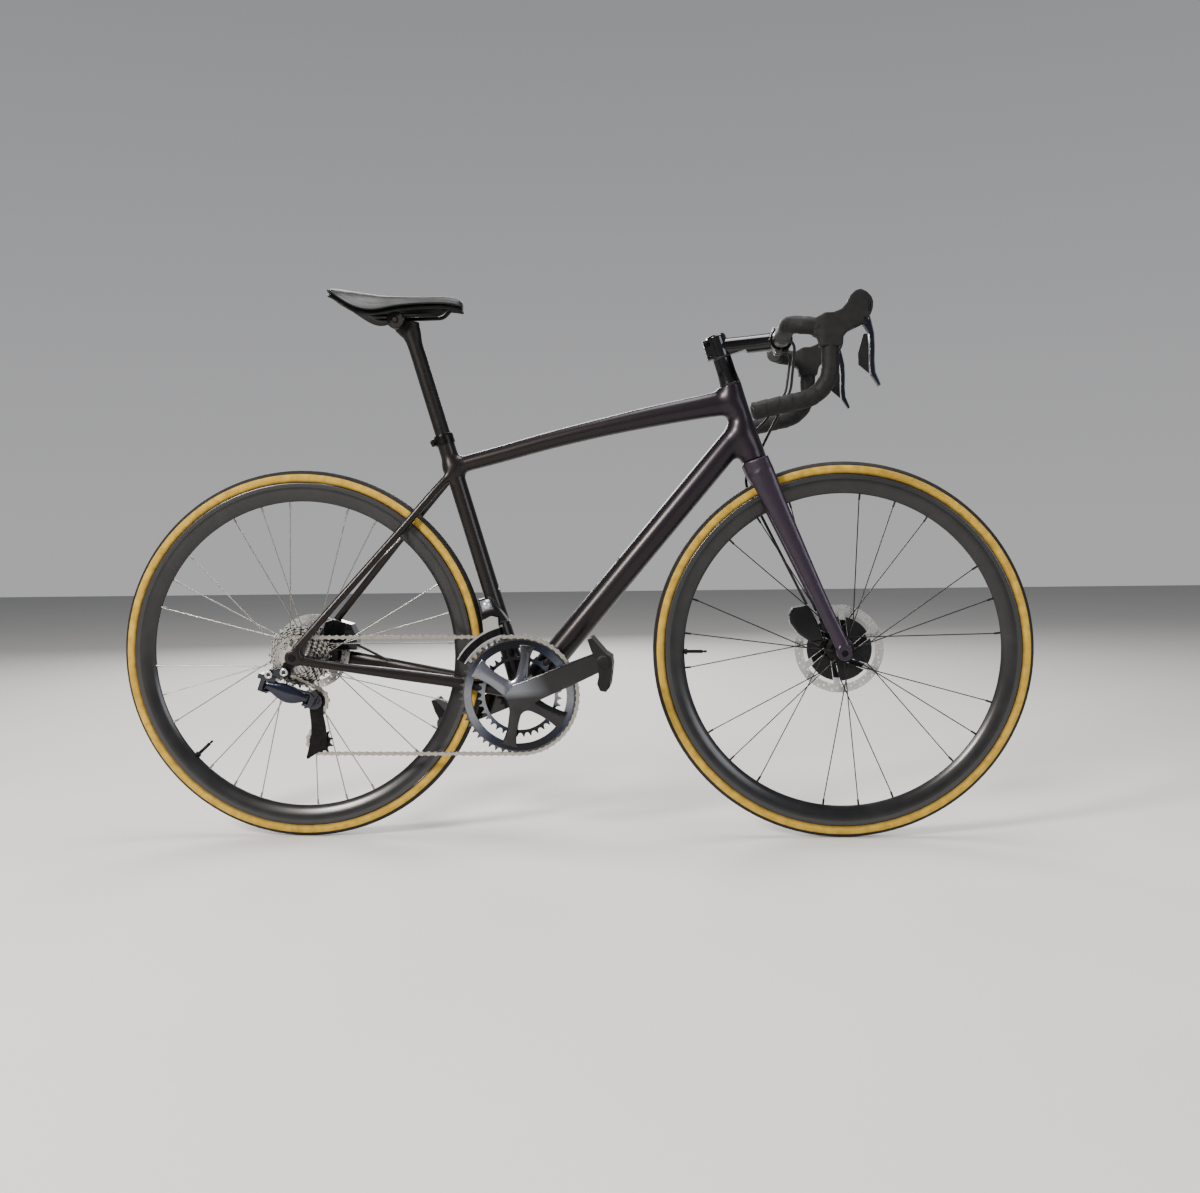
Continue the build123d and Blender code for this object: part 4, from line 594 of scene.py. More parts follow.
class Clay:
    """A solid kept as a grid of distances, so tubes flow into each other."""

    def __init__(self, low, high, cell):
        self.low = np.array(low) * MM
        self.cell = cell * MM
        size = np.ceil((np.array(high) * MM - self.low) / self.cell).astype(int) + 1
        self.grid = np.full(size, FAR, np.float32)

    def window(self, low, high):
        first = np.clip(np.floor((low - self.low) / self.cell).astype(int), 0, self.grid.shape)
        last = np.clip(np.ceil((high - self.low) / self.cell).astype(int) + 1, 0, self.grid.shape)
        return tuple(slice(a, b) for a, b in zip(first, last)), first

    def coordinates(self, first, shape):
        axes = [
            (self.low[k] + (first[k] + np.arange(shape[k])) * self.cell).astype(np.float32)
            for k in range(3)
        ]
        return np.stack(np.meshgrid(*axes, indexing="ij"), -1)

    def tube(self, stations, flow):
        """Add an oval tube; flow is the size in mm of the fillet where it meets the rest."""
        rows = eased(np.array(stations, float) * MM, lambda gap: np.linalg.norm(gap[:3]), TUBE_STEP)
        margin = flow * MM + BLUR + rows[:, 3:].max()
        where, first = self.window(rows[:, :3].min(0) - margin, rows[:, :3].max(0) + margin)
        own = np.full(self.grid[where].shape, FAR, np.float32)
        for a, b in zip(rows, rows[1:]):
            reach = flow * MM + BLUR + max(a[3], a[4], b[3], b[4])
            part, start = self.window(np.minimum(a, b)[:3] - reach, np.maximum(a, b)[:3] + reach)
            part = tuple(slice(s.start - f, s.stop - f) for s, f in zip(part, first))
            spots = self.coordinates(start, own[part].shape)
            along = b[:3] - a[:3]
            length = np.linalg.norm(along)
            along = along / length
            side = np.array([-along[1], along[0], 0.0])
            side /= np.linalg.norm(side)
            up = np.cross(along, side)
            from_a = spots - a[:3].astype(np.float32)
            t = from_a @ along.astype(np.float32)
            share = np.clip(t / length, 0, 1)
            past = t - share * length
            half_wide = a[3] + share * (b[3] - a[3])
            half_high = a[4] + share * (b[4] - a[4])
            small = np.minimum(half_wide, half_high)
            u = (from_a @ side.astype(np.float32)) / half_wide
            v = (from_a @ up.astype(np.float32)) / half_high
            value = (np.sqrt(u * u + v * v + (past / small) ** 2) - 1) * small
            own[part] = np.minimum(own[part], value)
        self.merge(where, own, flow * MM)

    def merge(self, where, own, flow):
        old = self.grid[where]
        if flow <= 0:
            self.grid[where] = np.minimum(old, own)
            return
        share = np.clip(0.5 + 0.5 * (old - own) / flow, 0, 1)
        self.grid[where] = old * (1 - share) + own * share - flow * share * (1 - share)

    def cut_beyond(self, point, normal, reach):
        """Slice off what lies past a plane, within reach (mm) of its point."""
        point = np.array(point, np.float32)
        where, first = self.window(point - reach * MM, point + reach * MM)
        spots = self.coordinates(first, self.grid[where].shape)
        gap = (spots - point) @ np.array(normal, np.float32)
        self.grid[where] = np.maximum(self.grid[where], gap)

    def mesh(self, name):
        """Skin the solid with a smooth net of quads."""
        inside = self.grid < 0
        shape = np.array(self.grid.shape)
        corners = np.array([[i, j, k] for k in (0, 1) for j in (0, 1) for i in (0, 1)])
        count = np.zeros(tuple(shape - 1), np.uint8)
        for i, j, k in corners:
            count += inside[i : shape[0] - 1 + i, j : shape[1] - 1 + j, k : shape[2] - 1 + k]
        cells = np.argwhere((count > 0) & (count < 8))
        at = cells[:, None, :] + corners[None]
        values = self.grid[at[..., 0], at[..., 1], at[..., 2]]
        total = np.zeros((len(cells), 3))
        hits = np.zeros((len(cells), 1))
        for a in range(8):
            for b in range(a + 1, 8):
                if np.abs(corners[a] - corners[b]).sum() != 1:
                    continue
                va, vb = values[:, a], values[:, b]
                crossing = ((va < 0) != (vb < 0))[:, None]
                t = np.where(crossing[:, 0], va / np.where(va == vb, 1, va - vb), 0)[:, None]
                total += np.where(crossing, corners[a] + t * (corners[b] - corners[a]), 0)
                hits += crossing
        points = self.low + (cells + total / hits) * self.cell
        index = np.full(tuple(shape - 1), -1, int)
        index[tuple(cells.T)] = np.arange(len(cells))
        faces = []
        for axis in range(3):
            one, two = (axis + 1) % 3, (axis + 2) % 3
            low = [slice(None)] * 3
            high = [slice(None)] * 3
            low[axis], high[axis] = slice(0, -1), slice(1, None)
            spots = np.argwhere(inside[tuple(low)] != inside[tuple(high)])
            step_one, step_two = np.eye(3, dtype=int)[one], np.eye(3, dtype=int)[two]
            ring = [spots, spots - step_one, spots - step_one - step_two, spots - step_two]
            quad = np.stack([index[tuple(r.T)] for r in ring], 1)
            starts_inside = inside[tuple(spots.T)]
            quad = np.where(starts_inside[:, None], quad, quad[:, ::-1])
            faces.append(quad)
        return mesh_from(name, points.tolist(), np.vstack(faces).tolist())


def carved(mesh, *cutters):
    """A mesh with (points, faces) pairs cut out of it, one after another."""
    for cutter in cutters:
        tool_mesh = mesh_from("cutter", *cutter)
        work = bmesh.new()
        work.from_mesh(tool_mesh)
        bmesh.ops.recalc_face_normals(work, faces=work.faces)
        work.to_mesh(tool_mesh)
        work.free()
        tool = bpy.data.objects.new("cutter", tool_mesh)
        add_to_scene(tool)
        mesh = baked(mesh, ("BOOLEAN", {"operation": "DIFFERENCE", "solver": "MANIFOLD", "object": tool}))
        bpy.data.objects.remove(tool)
    return mesh


def drum(centre, axis, radius, low, high, segments=64):
    """A capped cylinder, used only to cut."""
    profile = [(1e-5, low * MM), (radius * MM, low * MM), (radius * MM, high * MM), (1e-5, high * MM)]
    return lathe(centre, axis, profile, segments)


# ---- carbon frame
def stay_rows(line, side):
    return [(x, side * y, z, w, h) for (x, y, z), w, h in line]


top_tube = [
    (-208, 0, 674.5, 14.5, 14.5), (-119, 0, 696.5, 15.5, 15.0), (-30, 0, 719.5, 16.0, 15.6),
    (63, 0, 740.5, 16.5, 16.5), (153, 0, 758.5, 17.5, 18.5), (242, 0, 774.0, 18.0, 20.5),
    (290, 0, 782.0, 18.0, 23.0),
]
down_from = np.array([-89.0, 0.0, 256.6])
down_run = np.array([407.6, 0.0, 480.4])
down_tube = [
    (*(down_from + share * down_run), wide, high)
    for share, wide, high in (
        (0.03, 29.0, 23.5), (0.15, 26.5, 23.8), (0.5, 23.5, 23.5), (0.85, 22.0, 23.0), (0.97, 20.5, 22.5),
    )
]
right_stay = [
    ((-100, 27, 270), 10, 13), ((-160, 27.5, 280.5), 8.6, 11.5), ((-205, 29.5, 287.5), 8.6, 10.5),
    ((-300, 38, 302), 8.8, 10), ((-385, 53, 315.5), 8, 8.2), ((-436, 66, 324.5), 6.5, 7.5),
    ((-478, 73.4, 332.6), 3.6, 8.5),
]
left_stay = [
    ((-100, 27, 270), 10, 13), ((-160, 27.5, 281), 8.6, 12.0), ((-205, 29.5, 289), 8.6, 11.5),
    ((-300, 40, 305), 9.0, 12.5), ((-370, 57, 315.5), 9.0, 13.5), ((-430, 69.8, 324), 7.6, 14.0),
    ((-478, 73.4, 332.6), 3.6, 11.5),
]
seat_stay = [
    ((-200, 10.0, 671), 5.5, 7.2), ((-240, 20.5, 628), 5.6, 7.0), ((-290, 27.5, 571.5), 5.8, 7.0),
    ((-360, 45.0, 492), 5.8, 7.0), ((-430, 63.0, 412.5), 5.2, 7.0), ((-482, 73.4, 353), 3.6, 7.5),
]


def oval_row(point, wide, high):
    return (point[0] / MM, point[1] / MM, point[2] / MM, wide, high)


clay = Clay((-515, -92, 222), (365, 92, 830), 2.0)
clay.tube([
    oval_row(head_point(along), radius, radius)
    for along, radius in ((-8, 22.5), (14, 22.2), (60, 19.6), (110, 18.8), (148, 19.2))
], 0.0)
clay.tube(top_tube, 16.0)
clay.tube(down_tube, 18.0)
clay.tube([
    oval_row(seat_point(along), wide, high)
    for along, wide, high in ((5, 17.5, 18.5), (90, 16.5, 17.0), (220, 15.6, 15.6), (496, 15.5, 15.5))
], 13.0)
for side in (-1, 1):
    clay.tube(stay_rows(seat_stay, side), 8.0)
shell_box = [(-86, -50, 265, 23.6, 23.6), (-86, 50, 265, 23.6, 23.6)]
clay.tube(shell_box, 9.0)
clay.tube(stay_rows(right_stay, -1), 9.0)
clay.tube(stay_rows(left_stay, 1), 9.0)
for side in (-1, 1):
    clay.tube([(-489, side * 69, 337, 14.0, 14.0), (-489, side * 79, 337, 14.0, 14.0)], 7.0)
clay.cut_beyond(head_point(0), -HEAD_UP, 30)
clay.cut_beyond(head_point(140), HEAD_UP, 30)
clay.cut_beyond(seat_point(488), SEAT_UP, 26)
for side in (-1, 1):
    clay.cut_beyond((-0.489, side * 0.0775, 0.337), (0, side, 0), 60)
tyre_room = lathe(REAR_HUB, ACROSS, [
    (0.230, -0.0155), (0.330, -0.0175), (0.344, -0.014), (0.344, 0.014), (0.330, 0.0175), (0.230, 0.0155),
], 160)
beside_shell = [
    drum((CRANK[0], side * 0.06325, CRANK[2]), ACROSS, 45.0, -20.0, 20.0) for side in (-1, 1)
]
headset_bore = lathe(HEAD_BASE, HEAD_UP, [
    (1e-5, -0.002), (0.020, -0.002), (0.020, 0.008), (0.0168, 0.010), (0.0162, 0.128), (0.0172, 0.131),
    (0.0172, 0.142), (1e-5, 0.142),
], 64)
frame_mesh = carved(
    clay.mesh("frame_shell"), tyre_room,
    drum(REAR_HUB, ACROSS, 30.0, -71.0, 71.0), drum(REAR_HUB, ACROSS, 6.0, -90.0, 90.0),
    drum(CRANK, ACROSS, 20.5, -60.0, 60.0), *beside_shell,
    drum(CRANK, SEAT_UP, 13.65, 240.0, 500.0), headset_bore,
)
place("frame_shell", frame_mesh, frame_paint, "frame",
      "head_tube", "top_tube", "down_tube", "seat_tube", "bb_shell", "chainstays", "seatstays")

# ---- fork
leg_from = np.array([337.5, 676.0])
leg_run = np.array([490.5 - 337.5, 337.0 - 676.0])
leg_rows = [
    (0.0, 28.0, 11.0, 24.0), (0.10, 31.5, 10.5, 22.5), (0.22, 34.0, 9.5, 19.5), (0.45, 39.5, 8.2, 16.0),
    (0.75, 47.5, 6.8, 12.5), (0.93, 53.0, 5.2, 12.5), (0.985, 54.2, 4.6, 13.0),
]
clay = Clay((285, -72, 318), (512, 72, 700), 1.8)
clay.tube([
    oval_row(head_point(along, ahead), wide, high)
    for along, ahead, wide, high in ((6, 0, 22.0, 22.0), (-10, 1, 26, 23.5), (-24, 3, 34, 24.0))
], 0.0)
for side in (-1, 1):
    rows = [
        (leg_from[0] + share * leg_run[0], side * y, leg_from[1] + share * leg_run[1], wide, high)
        for share, y, wide, high in leg_rows
    ]
    clay.tube(rows, 12.0)
    clay.tube([(489, side * 52.5, 337, 13.0, 13.0), (489, side * 57.0, 337, 13.0, 13.0)], 5.0)
clay.cut_beyond(head_point(-0.6), HEAD_UP, 60)
for side in (-1, 1):
    clay.cut_beyond((0.489, side * 0.0595, 0.337), (0, side, 0), 60)
tyre_room = lathe(FRONT_HUB, ACROSS, [
    (0.200, -0.017), (0.330, -0.0185), (0.3435, -0.015), (0.3435, 0.015), (0.330, 0.0185), (0.200, 0.017),
], 160)
fork_mesh = carved(
    clay.mesh("fork_shell"), tyre_room,
    drum(FRONT_HUB, ACROSS, 34.0, -50.0, 50.0), drum(FRONT_HUB, ACROSS, 6.0, -90.0, 90.0),
)
place("fork_shell", fork_mesh, fork_paint, STEERING, "fork")
steerer = mesh_from("steerer_tube", *lathe(HEAD_BASE, HEAD_UP, [
    (0.0118, -0.030), (0.0150, -0.004), (0.0150, 0.009), (0.0143, 0.014), (0.0143, 0.225), (0.0118, 0.225),
], 64))
place("steerer_tube", steerer, black_alloy, STEERING)


# ---- wheels
def ring_profile(points, passes):
    """Round the corners of a closed outline by cutting them."""
    for _ in range(passes):
        out = []
        for a, b in zip(points, points[1:] + points[:1]):
            out.append((a[0] * 0.75 + b[0] * 0.25, a[1] * 0.75 + b[1] * 0.25))
            out.append((a[0] * 0.25 + b[0] * 0.75, a[1] * 0.25 + b[1] * 0.75))
        points = out
    return points


def tyre_mesh(name, centre):
    outer = []
    inner = []
    for i in range(49):
        a = math.radians(-46 + 272 * i / 48)
        grow = 0.0
        crown = abs(a - math.pi / 2)
        if crown < math.radians(62):
            grow = -0.00025
        if math.radians(60) < crown < math.radians(64):
            grow = -0.0005
        outer.append((0.324 + (0.013 + grow) * math.sin(a), (0.013 + grow) * math.cos(a)))
        inner.append((0.324 + 0.0108 * math.sin(a), 0.0108 * math.cos(a)))
    return mesh_from(name, *lathe(centre, ACROSS, outer + inner[::-1], 288))


RIM_HALF_WIDTH = 12.5
RIM_OUTSIDE = 314.4
RIM_INSIDE = 280.0


def rim_mesh(name, centre):
    """A deep rim from the half outline of its skin and of its tyre well, mirrored across the wheel."""
    w, ro, ri = RIM_HALF_WIDTH, RIM_OUTSIDE, RIM_INSIDE
    skin_line = [
        (ro, w - 0.6), (ro - 1.5, w), (ro - 6, w), (ro - 12, w - 0.3), (ro - 17, w - 1.2),
        (ro - 22, w - 3.0), (ro - 28, w - 5.8), (ri + 1.6, w - 9.6), (ri, 1.4),
    ]
    well_line = [(ro - 9, 4), (ro - 7, w - 2.6), (ro - 0.4, w - 2.4)]
    outline = skin_line + [(r, -y) for r, y in reversed(skin_line)]
    outline += [(r, -y) for r, y in reversed(well_line)] + [(ro - 11, 0)] + well_line
    profile = ring_profile([(r * MM, y * MM) for r, y in outline], 2)
    return mesh_from(name, *lathe(centre, ACROSS, profile, 288))


def valve_mesh(name, centre, degrees):
    a = math.radians(degrees)
    out = Vector((math.cos(a), 0, math.sin(a)))
    stem = [
        (1e-5, 0.2395), (0.0016, 0.2395), (0.0021, 0.2405), (0.0021, 0.2445), (0.0016, 0.2455),
        (0.0016, 0.2465), (0.0028, 0.2475), (0.0030, 0.2490), (0.0030, 0.2745), (0.0054, 0.2750),
        (0.0055, 0.2795), (0.0030, 0.2800), (0.0030, 0.3000), (1e-5, 0.3000),
    ]
    return mesh_from(name, *lathe(Vector(centre), out, stem, 24, closed=False))


for word, centre, valve_angle in (("front", FRONT_HUB, 180.0), ("rear", REAR_HUB, -138.0)):
    body = word + "_wheel"
    casing = tyre_rubber(word + "_tyre_rubber", centre)
    place(word + "_tyre_casing", tyre_mesh(word, centre), casing, body, word + "_tyre")
    carbon = carbon_rim(word + "_rim_carbon", centre)
    place(word + "_rim_hoop", rim_mesh(word, centre), carbon, body, word + "_rim")
    place(word + "_valve", valve_mesh(word, centre, valve_angle), black_alloy, body)

# ---- handlebar wrap
hook = [(384, 0, 888), (384, -205, 888), (450, -206, 878), (450, -207, 773), (325, -210, 747)]
hook_radii = [0.035, 0.033, 0.056]


def wrap_radius(distance, angle):
    """Overlapping turns of tape: each turn steps down onto the one before."""
    turn = (distance / 0.021 + angle / (2 * math.pi)) % 1.0
    step = 0.00095 * (1 - turn) if turn > 0.06 else 0.00095 * turn / 0.06
    return 0.01385 + step


for side, word in ((1, "right"), (-1, "left")):
    corners = [(384 * MM, -62 * side * MM, 888 * MM)]
    corners += [(x * MM, side * y * MM, z * MM) for x, y, z in hook[1:]]
    path = arc_path(corners, hook_radii, 0.0015)
    tape = mesh_from("tape_" + word, *tube_along(path, lambda d, a: wrap_radius(d, a), 56))
    place("bar_wrap_" + word, tape, wrap, STEERING, "bar_tape")
    end = path[-1]
    along = (path[-1] - path[-2]).normalized()
    plug = [
        (1e-5, 0.0042), (0.009, 0.0042), (0.0125, 0.0032), (0.0143, 0.0012), (0.0146, -0.0008),
        (0.0138, -0.0016), (1e-5, -0.0016),
    ]
    plug_mesh = mesh_from("plug", *lathe(end, along, plug, 40, closed=False))
    place("bar_plug_" + word, plug_mesh, plastic, STEERING)

# ---- brake hoses
HOSE_RADIUS = 2.5
rear_hose_points = [
    (384, 150, 888), (384, 74, 888), (407, 52, 872), (396, 44, 800), (352, 38, 742),
    (262, 8, 676), (100, 0, 479), (-80, 10, 243), (-205, 29.5, 289), (-318, 41.5, 307.5),
    (-402, 50.0, 349), (-409, 50.0, 360),
]
rear_hose_radii = [14, 24, 45, 60, 55, 150, 25, 120, 160, 20]
front_hose_points = [
    (384, -150, 888), (384, -74, 888), (406, -50, 874), (401, -14, 800), (372, 30, 742),
    (346, 46, 690), (318, 47, 646), (420, 47.5, 441), (432, 44.5, 417),
]
front_hose_radii = [14, 24, 60, 70, 60, 40, 60]


def hose_mesh(name, corners, radii):
    path = arc_path([Vector(c) * MM for c in corners], [r * MM for r in radii], 0.003)
    return mesh_from(name, *tube_along(path, lambda distance, angle: HOSE_RADIUS * MM, 20))


place("front_hose_line", hose_mesh("front_hose_line", front_hose_points, front_hose_radii), hose_skin,
      STEERING, "front_hose")
rear_mesh = hose_mesh("rear_hose_line", rear_hose_points, rear_hose_radii)
rear_line = place("rear_hose_line", rear_mesh, hose_skin, None)
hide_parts("rear_hose")
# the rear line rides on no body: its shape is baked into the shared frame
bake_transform(rear_line)

# ---- saddle
# (x, half width, crown height, height of the side edge) from tail to nose
saddle_rows = [
    (-421, 34, 997.0, 993.0), (-416, 50, 997.2, 989.0), (-405, 64, 996.0, 983.5),
    (-392, 72, 994.0, 974.5), (-378, 74.5, 991.8, 965.0), (-363, 73.5, 989.6, 957.0),
    (-348, 67.5, 987.3, 953.0), (-334, 59, 985.3, 953.0), (-320, 50.5, 983.6, 956.0),
    (-304, 42.5, 982.6, 960.5), (-285, 35, 981.8, 964.0), (-262, 28.5, 981.3, 966.5),
    (-235, 24, 981.0, 967.5), (-212, 21, 980.2, 967.0), (-196, 18.5, 977.5, 965.0),
    (-187, 15, 973.5, 963.0), (-182, 9, 968.0, 961.5),
]


def saddle_layer(name, sunk, thick, inset, groove_depth):
    """One crescent-shaped layer of the saddle, sunk below the pad's surface."""
    rows = eased(saddle_rows, lambda gap: gap[0], 3.0)
    spread = np.sin(np.linspace(-math.pi / 2, math.pi / 2, 61))
    points = []
    for x, half, top, edge in rows:
        half = half - inset
        length = (x + 421) / 239.0
        groove = groove_depth * math.exp(-(((length - 0.45) / 0.3) ** 4))
        upper = []
        lower = []
        for s in spread:
            y = half * s
            z = edge + (top - edge) * (1 - abs(s) ** 2.7) - groove * math.exp(-((y / 8.0) ** 2)) - sunk
            if inset == 0 and 0.86 < abs(s) < 0.90:
                z -= 0.6
            depth = 2.4 + (thick - 2.4) * (1 - s**4)
            upper.append((x, y, z))
            lower.append((x, y * 0.985, z - depth))
        points += upper + lower[::-1]
    count = 2 * len(spread)
    faces = []
    for i in range(len(rows) - 1):
        for k in range(count):
            n = (k + 1) % count
            faces.append((i * count + k, (i + 1) * count + k, (i + 1) * count + n, i * count + n))
    last = (len(rows) - 1) * count
    faces.append(tuple(range(count)))
    faces.append(tuple(range(last + count - 1, last - 1, -1)))
    return mesh_from(name, [(x * MM, y * MM, z * MM) for x, y, z in points], faces)


pad_mesh = saddle_layer("saddle_pad", 0.0, 9.0, 0.0, 3.0)
pad_mesh = baked(pad_mesh, ("SMOOTH", {"factor": 0.5, "iterations": 2}))
pad = place("saddle_pad", pad_mesh, skin, "saddle_body", "saddle_cover")
clay = Clay((-410, -40, 946), (-176, 40, 1000), 1.2)
clay.tube([(-213, 0, 962.5, 15, 5.6), (-197, 0, 963.5, 13, 5.0)], 0.0)
for side in (-1, 1):
    clay.tube([(-394, side * 22, 971, 7, 6), (-376, side * 22, 968.5, 6.5, 5.5)], 3.0)
    clay.tube([(-388, side * 22, 970, 6, 6), (-386, side * 22, 983, 8, 8)], 4.0)
base = saddle_layer("saddle_base", 9.3, 3.0, 3.0, 3.0)
place("saddle_base", base, plastic, "saddle_body", "saddle_shell")
place("rail_sockets", clay.mesh("rail_sockets"), plastic, "saddle_body")

# ---- seatpost
clay = Clay((-330, -20, 585), (-165, 20, 955), 1.5)
post = [oval_row(seat_point(along), 13.6, 13.6) for along in (360, 450, 540, 600, 640)]
post += [(-269.6, 0, 892, 13.6, 13.6), (-272.6, 0, 903, 13.7, 14.6), (-277.2, 0, 918, 14.0, 18.0)]
post += [(-284.5, 0, 931, 14.2, 23.0), (-289.0, 0, 944, 14.4, 26.0)]
clay.tube(post, 0.0)
clay.cut_beyond((-0.288, 0, 0.9395), (0.12, 0, 0.993), 60)
clay.cut_beyond(seat_point(360), -SEAT_UP, 30)
place("seatpost_body_shell", baked(clay.mesh("seatpost"), ("SMOOTH", {"factor": 0.5, "iterations": 3})),
      black_matte_alloy, "seatpost_body", "seatpost")

# ---- moulded and forged pieces
round_off(
    ("lever_hoods", 1.2, 14, rubber, STEERING),
    ("lever_brackets", 1.0, 4, plastic, STEERING),
    ("stem", 0.9, 3, black_gloss, STEERING),
    ("stem_faceplate", 0.8, 2, black_alloy, STEERING),
    ("crank_right", 1.0, 6, crank_paint, "crankset"),
    ("crank_left", 1.0, 6, crank_paint, "crankset"),
    ("pedal_right", 1.0, 4, plastic, "pedal_right_body"),
    ("pedal_left", 1.0, 4, plastic, "pedal_left_body"),
    ("derailleur_base", 0.6, 8, navy, "derailleur_base_body"),
    ("derailleur_knuckle", 0.6, 8, navy, "derailleur_knuckle_body"),
)


# ---- rear derailleur
def link_point(share, across, y):
    """A point along the parallelogram's link, and across it, in millimetres."""
    run = np.array([71.0, -24.0])
    axis = np.array([24.0, 71.0]) / np.linalg.norm(run)
    x, z = np.array([-534.0, 289.0]) + share * run + across * axis
    return (x, y, z)


clay = Clay((-548, -92, 236), (-440, -66, 316), 0.8)
link_rows = [
    (0.00, 0, -80.2, 4.2, 8.2), (0.16, 0, -80.6, 4.8, 10.5), (0.32, -1, -80.9, 5.2, 14.5),
    (0.55, -2, -80.9, 5.4, 16.5), (0.76, -1, -80.6, 5.0, 13.5), (0.88, 0, -80.2, 4.4, 9.5),
    (1.00, 0, -80.2, 4.0, 8.0),
]
clay.tube([(*link_point(share, across, y), wide, high) for share, across, y, wide, high in link_rows], 0.0)
place("derailleur_motor_cover", clay.mesh("cover"), navy,
      "derailleur_link_outer_body", "derailleur_link_outer")
for number, (x, z) in enumerate(((-501.0, 313.0), (-529.0, 309.0))):
    ring = lathe((x * MM, 0, z * MM), (0, -1, 0), [
        (0.0033, 0.0862), (0.0066, 0.0862), (0.0072, 0.0868), (0.0072, 0.0880), (0.0066, 0.0886),
        (0.0040, 0.0886), (0.0033, 0.0880),
    ], 40)
    place("derailleur_bolt_ring_%d" % number, mesh_from("ring", *ring), steel, "derailleur_base_body")
round_off(
    ("derailleur_link_inner", 0.6, 3, navy, "derailleur_link_inner_body"),
    ("front_derailleur", 0.7, 4, black_gloss, "frame"),
    ("front_caliper", 0.9, 5, black_gloss, STEERING),
    ("rear_caliper", 0.8, 5, black_gloss, "frame"),
    ("saddle_clamp", 0.7, 3, black_matte_alloy, "saddle_clamp_body"),
    ("brake_lever_right", 0.7, 5, navy, "brake_lever_right_body"),
    ("brake_lever_left", 0.7, 5, navy, "brake_lever_left_body"),
    ("shift_paddle_right", 0.5, 3, plastic, "shift_paddle_right_body"),
    ("shift_paddle_left", 0.5, 3, plastic, "shift_paddle_left_body"),
    ("seat_collar", 0.6, 2, black_alloy, "frame"),
)

cover_edge = [(-154.5, 434.0), (-137.5, 437.5), (-131.0, 420.0), (-149.0, 415.0)]
work = bmesh.new()
corners = [[work.verts.new((x * MM, y * MM, z * MM)) for x, z in cover_edge] for y in (-47.6, -46.0)]
work.faces.new(corners[0])
work.faces.new(corners[1][::-1])
for k in range(4):
    work.faces.new((corners[0][k], corners[1][k], corners[1][k - 3], corners[0][k - 3]))
bmesh.ops.recalc_face_normals(work, faces=work.faces)
bmesh.ops.bevel(work, geom=list(work.edges), offset=0.0007, segments=3, affect="EDGES")
cover_mesh = bpy.data.meshes.new("cover_panel")
work.to_mesh(cover_mesh)
work.free()
place("front_derailleur_panel", cover_mesh, pale_cover, "frame")

clay = Clay((-188, -68, 162), (16, -44, 368), 1.1)
spider_arms = ((56.4, 7.5, 12.0), (123.0, 12.5, 17.0), (-125.0, 8.5, 13.0), (-52.6, 12.0, 16.0))
for turn_by, slim, wide in spider_arms:
    a = math.radians(CRANK_TURN + turn_by)
    c, s = math.cos(a), math.sin(a)
    rows = [
        (0, 4.0, 15.0), (26, 3.8, slim + 2), (50, 3.2, slim), (70, 2.4, slim + 1.5), (84, 1.9, wide),
        (90, 1.7, wide + 3),
    ]
    clay.tube([(-86 + r * c, -56.6 + r * 0.026, 265 + r * s, thick, half) for r, thick, half in rows], 7.0)
place("spider_arms", clay.mesh("spider"), crank_paint, "crankset")

# ---- cooling fins of the discs
FIN_FOOT = 26.5
FIN_HALF_THICKNESS = 1.1
FIN_GAP = 0.8
ARM_FOOT_RADIUS = 23.0
ARM_FOOT_HALF_ANGLE = 12.0
ARM_TIP_INSET = 13.0
ARM_SWEEP = 27.0
ARM_TIP_HALF_ANGLE = 5.0


def disc_fins(name, centre, y, radius, reach, arms, body):
    """Black fins that fill most of the space between the swept arms of a brake disc."""

    def edge(r, side):
        """Angle at which a circle of radius r meets the straight side of an arm, and a small gap."""
        root = math.radians(ARM_FOOT_HALF_ANGLE * side)
        tip = math.radians(ARM_SWEEP + ARM_TIP_HALF_ANGLE * side)
        tip_radius = radius - ARM_TIP_INSET
        x, z = ARM_FOOT_RADIUS * math.cos(root), ARM_FOOT_RADIUS * math.sin(root)
        dx, dz = tip_radius * math.cos(tip) - x, tip_radius * math.sin(tip) - z
        a, b, c = dx * dx + dz * dz, x * dx + z * dz, ARM_FOOT_RADIUS**2 - r * r
        t = (math.sqrt(b * b - a * c) - b) / a
        turn = math.degrees(math.atan2(z + t * dz, x + t * dx)) + side * math.degrees(FIN_GAP / r)
        return turn if side > 0 else 360.0 / arms + turn

    radii = [FIN_FOOT + (reach - FIN_FOOT) * i / 8 for i in range(9)]
    low, high = edge(reach, 1), edge(reach, -1)
    foot_low, foot_high = edge(FIN_FOOT, 1), edge(FIN_FOOT, -1)
    outline = [(r, edge(r, 1)) for r in radii]
    outline += [(reach, low + (high - low) * i / 8) for i in range(1, 8)]
    outline += [(r, edge(r, -1)) for r in reversed(radii)]
    outline += [(FIN_FOOT, foot_high + (foot_low - foot_high) * i / 4) for i in range(1, 4)]
    count = len(outline)
    points = []
    faces = []
    for k in range(arms):
        first = len(points)
        for side in (-FIN_HALF_THICKNESS, FIN_HALF_THICKNESS):
            for r, turn in outline:
                a = math.radians(turn + 360.0 * k / arms)
                x, z = centre[0] + r * math.cos(a) * MM, centre[2] + r * math.sin(a) * MM
                points.append((x, (y + side) * MM, z))
        faces.append(tuple(range(first, first + count)))
        faces.append(tuple(range(first + 2 * count - 1, first + count - 1, -1)))
        for i in range(count):
            j = (i + 1) % count
            faces.append((first + j, first + i, first + count + i, first + count + j))
    place(name, mesh_from(name, points, faces), plastic, body, smooth=False)


disc_fins("front_disc_fins", FRONT_HUB, 34.7, 80.0, 58.5, 6, "front_wheel")
disc_fins("rear_disc_fins", REAR_HUB, 55.7, 70.0, 48.0, 5, "rear_wheel")

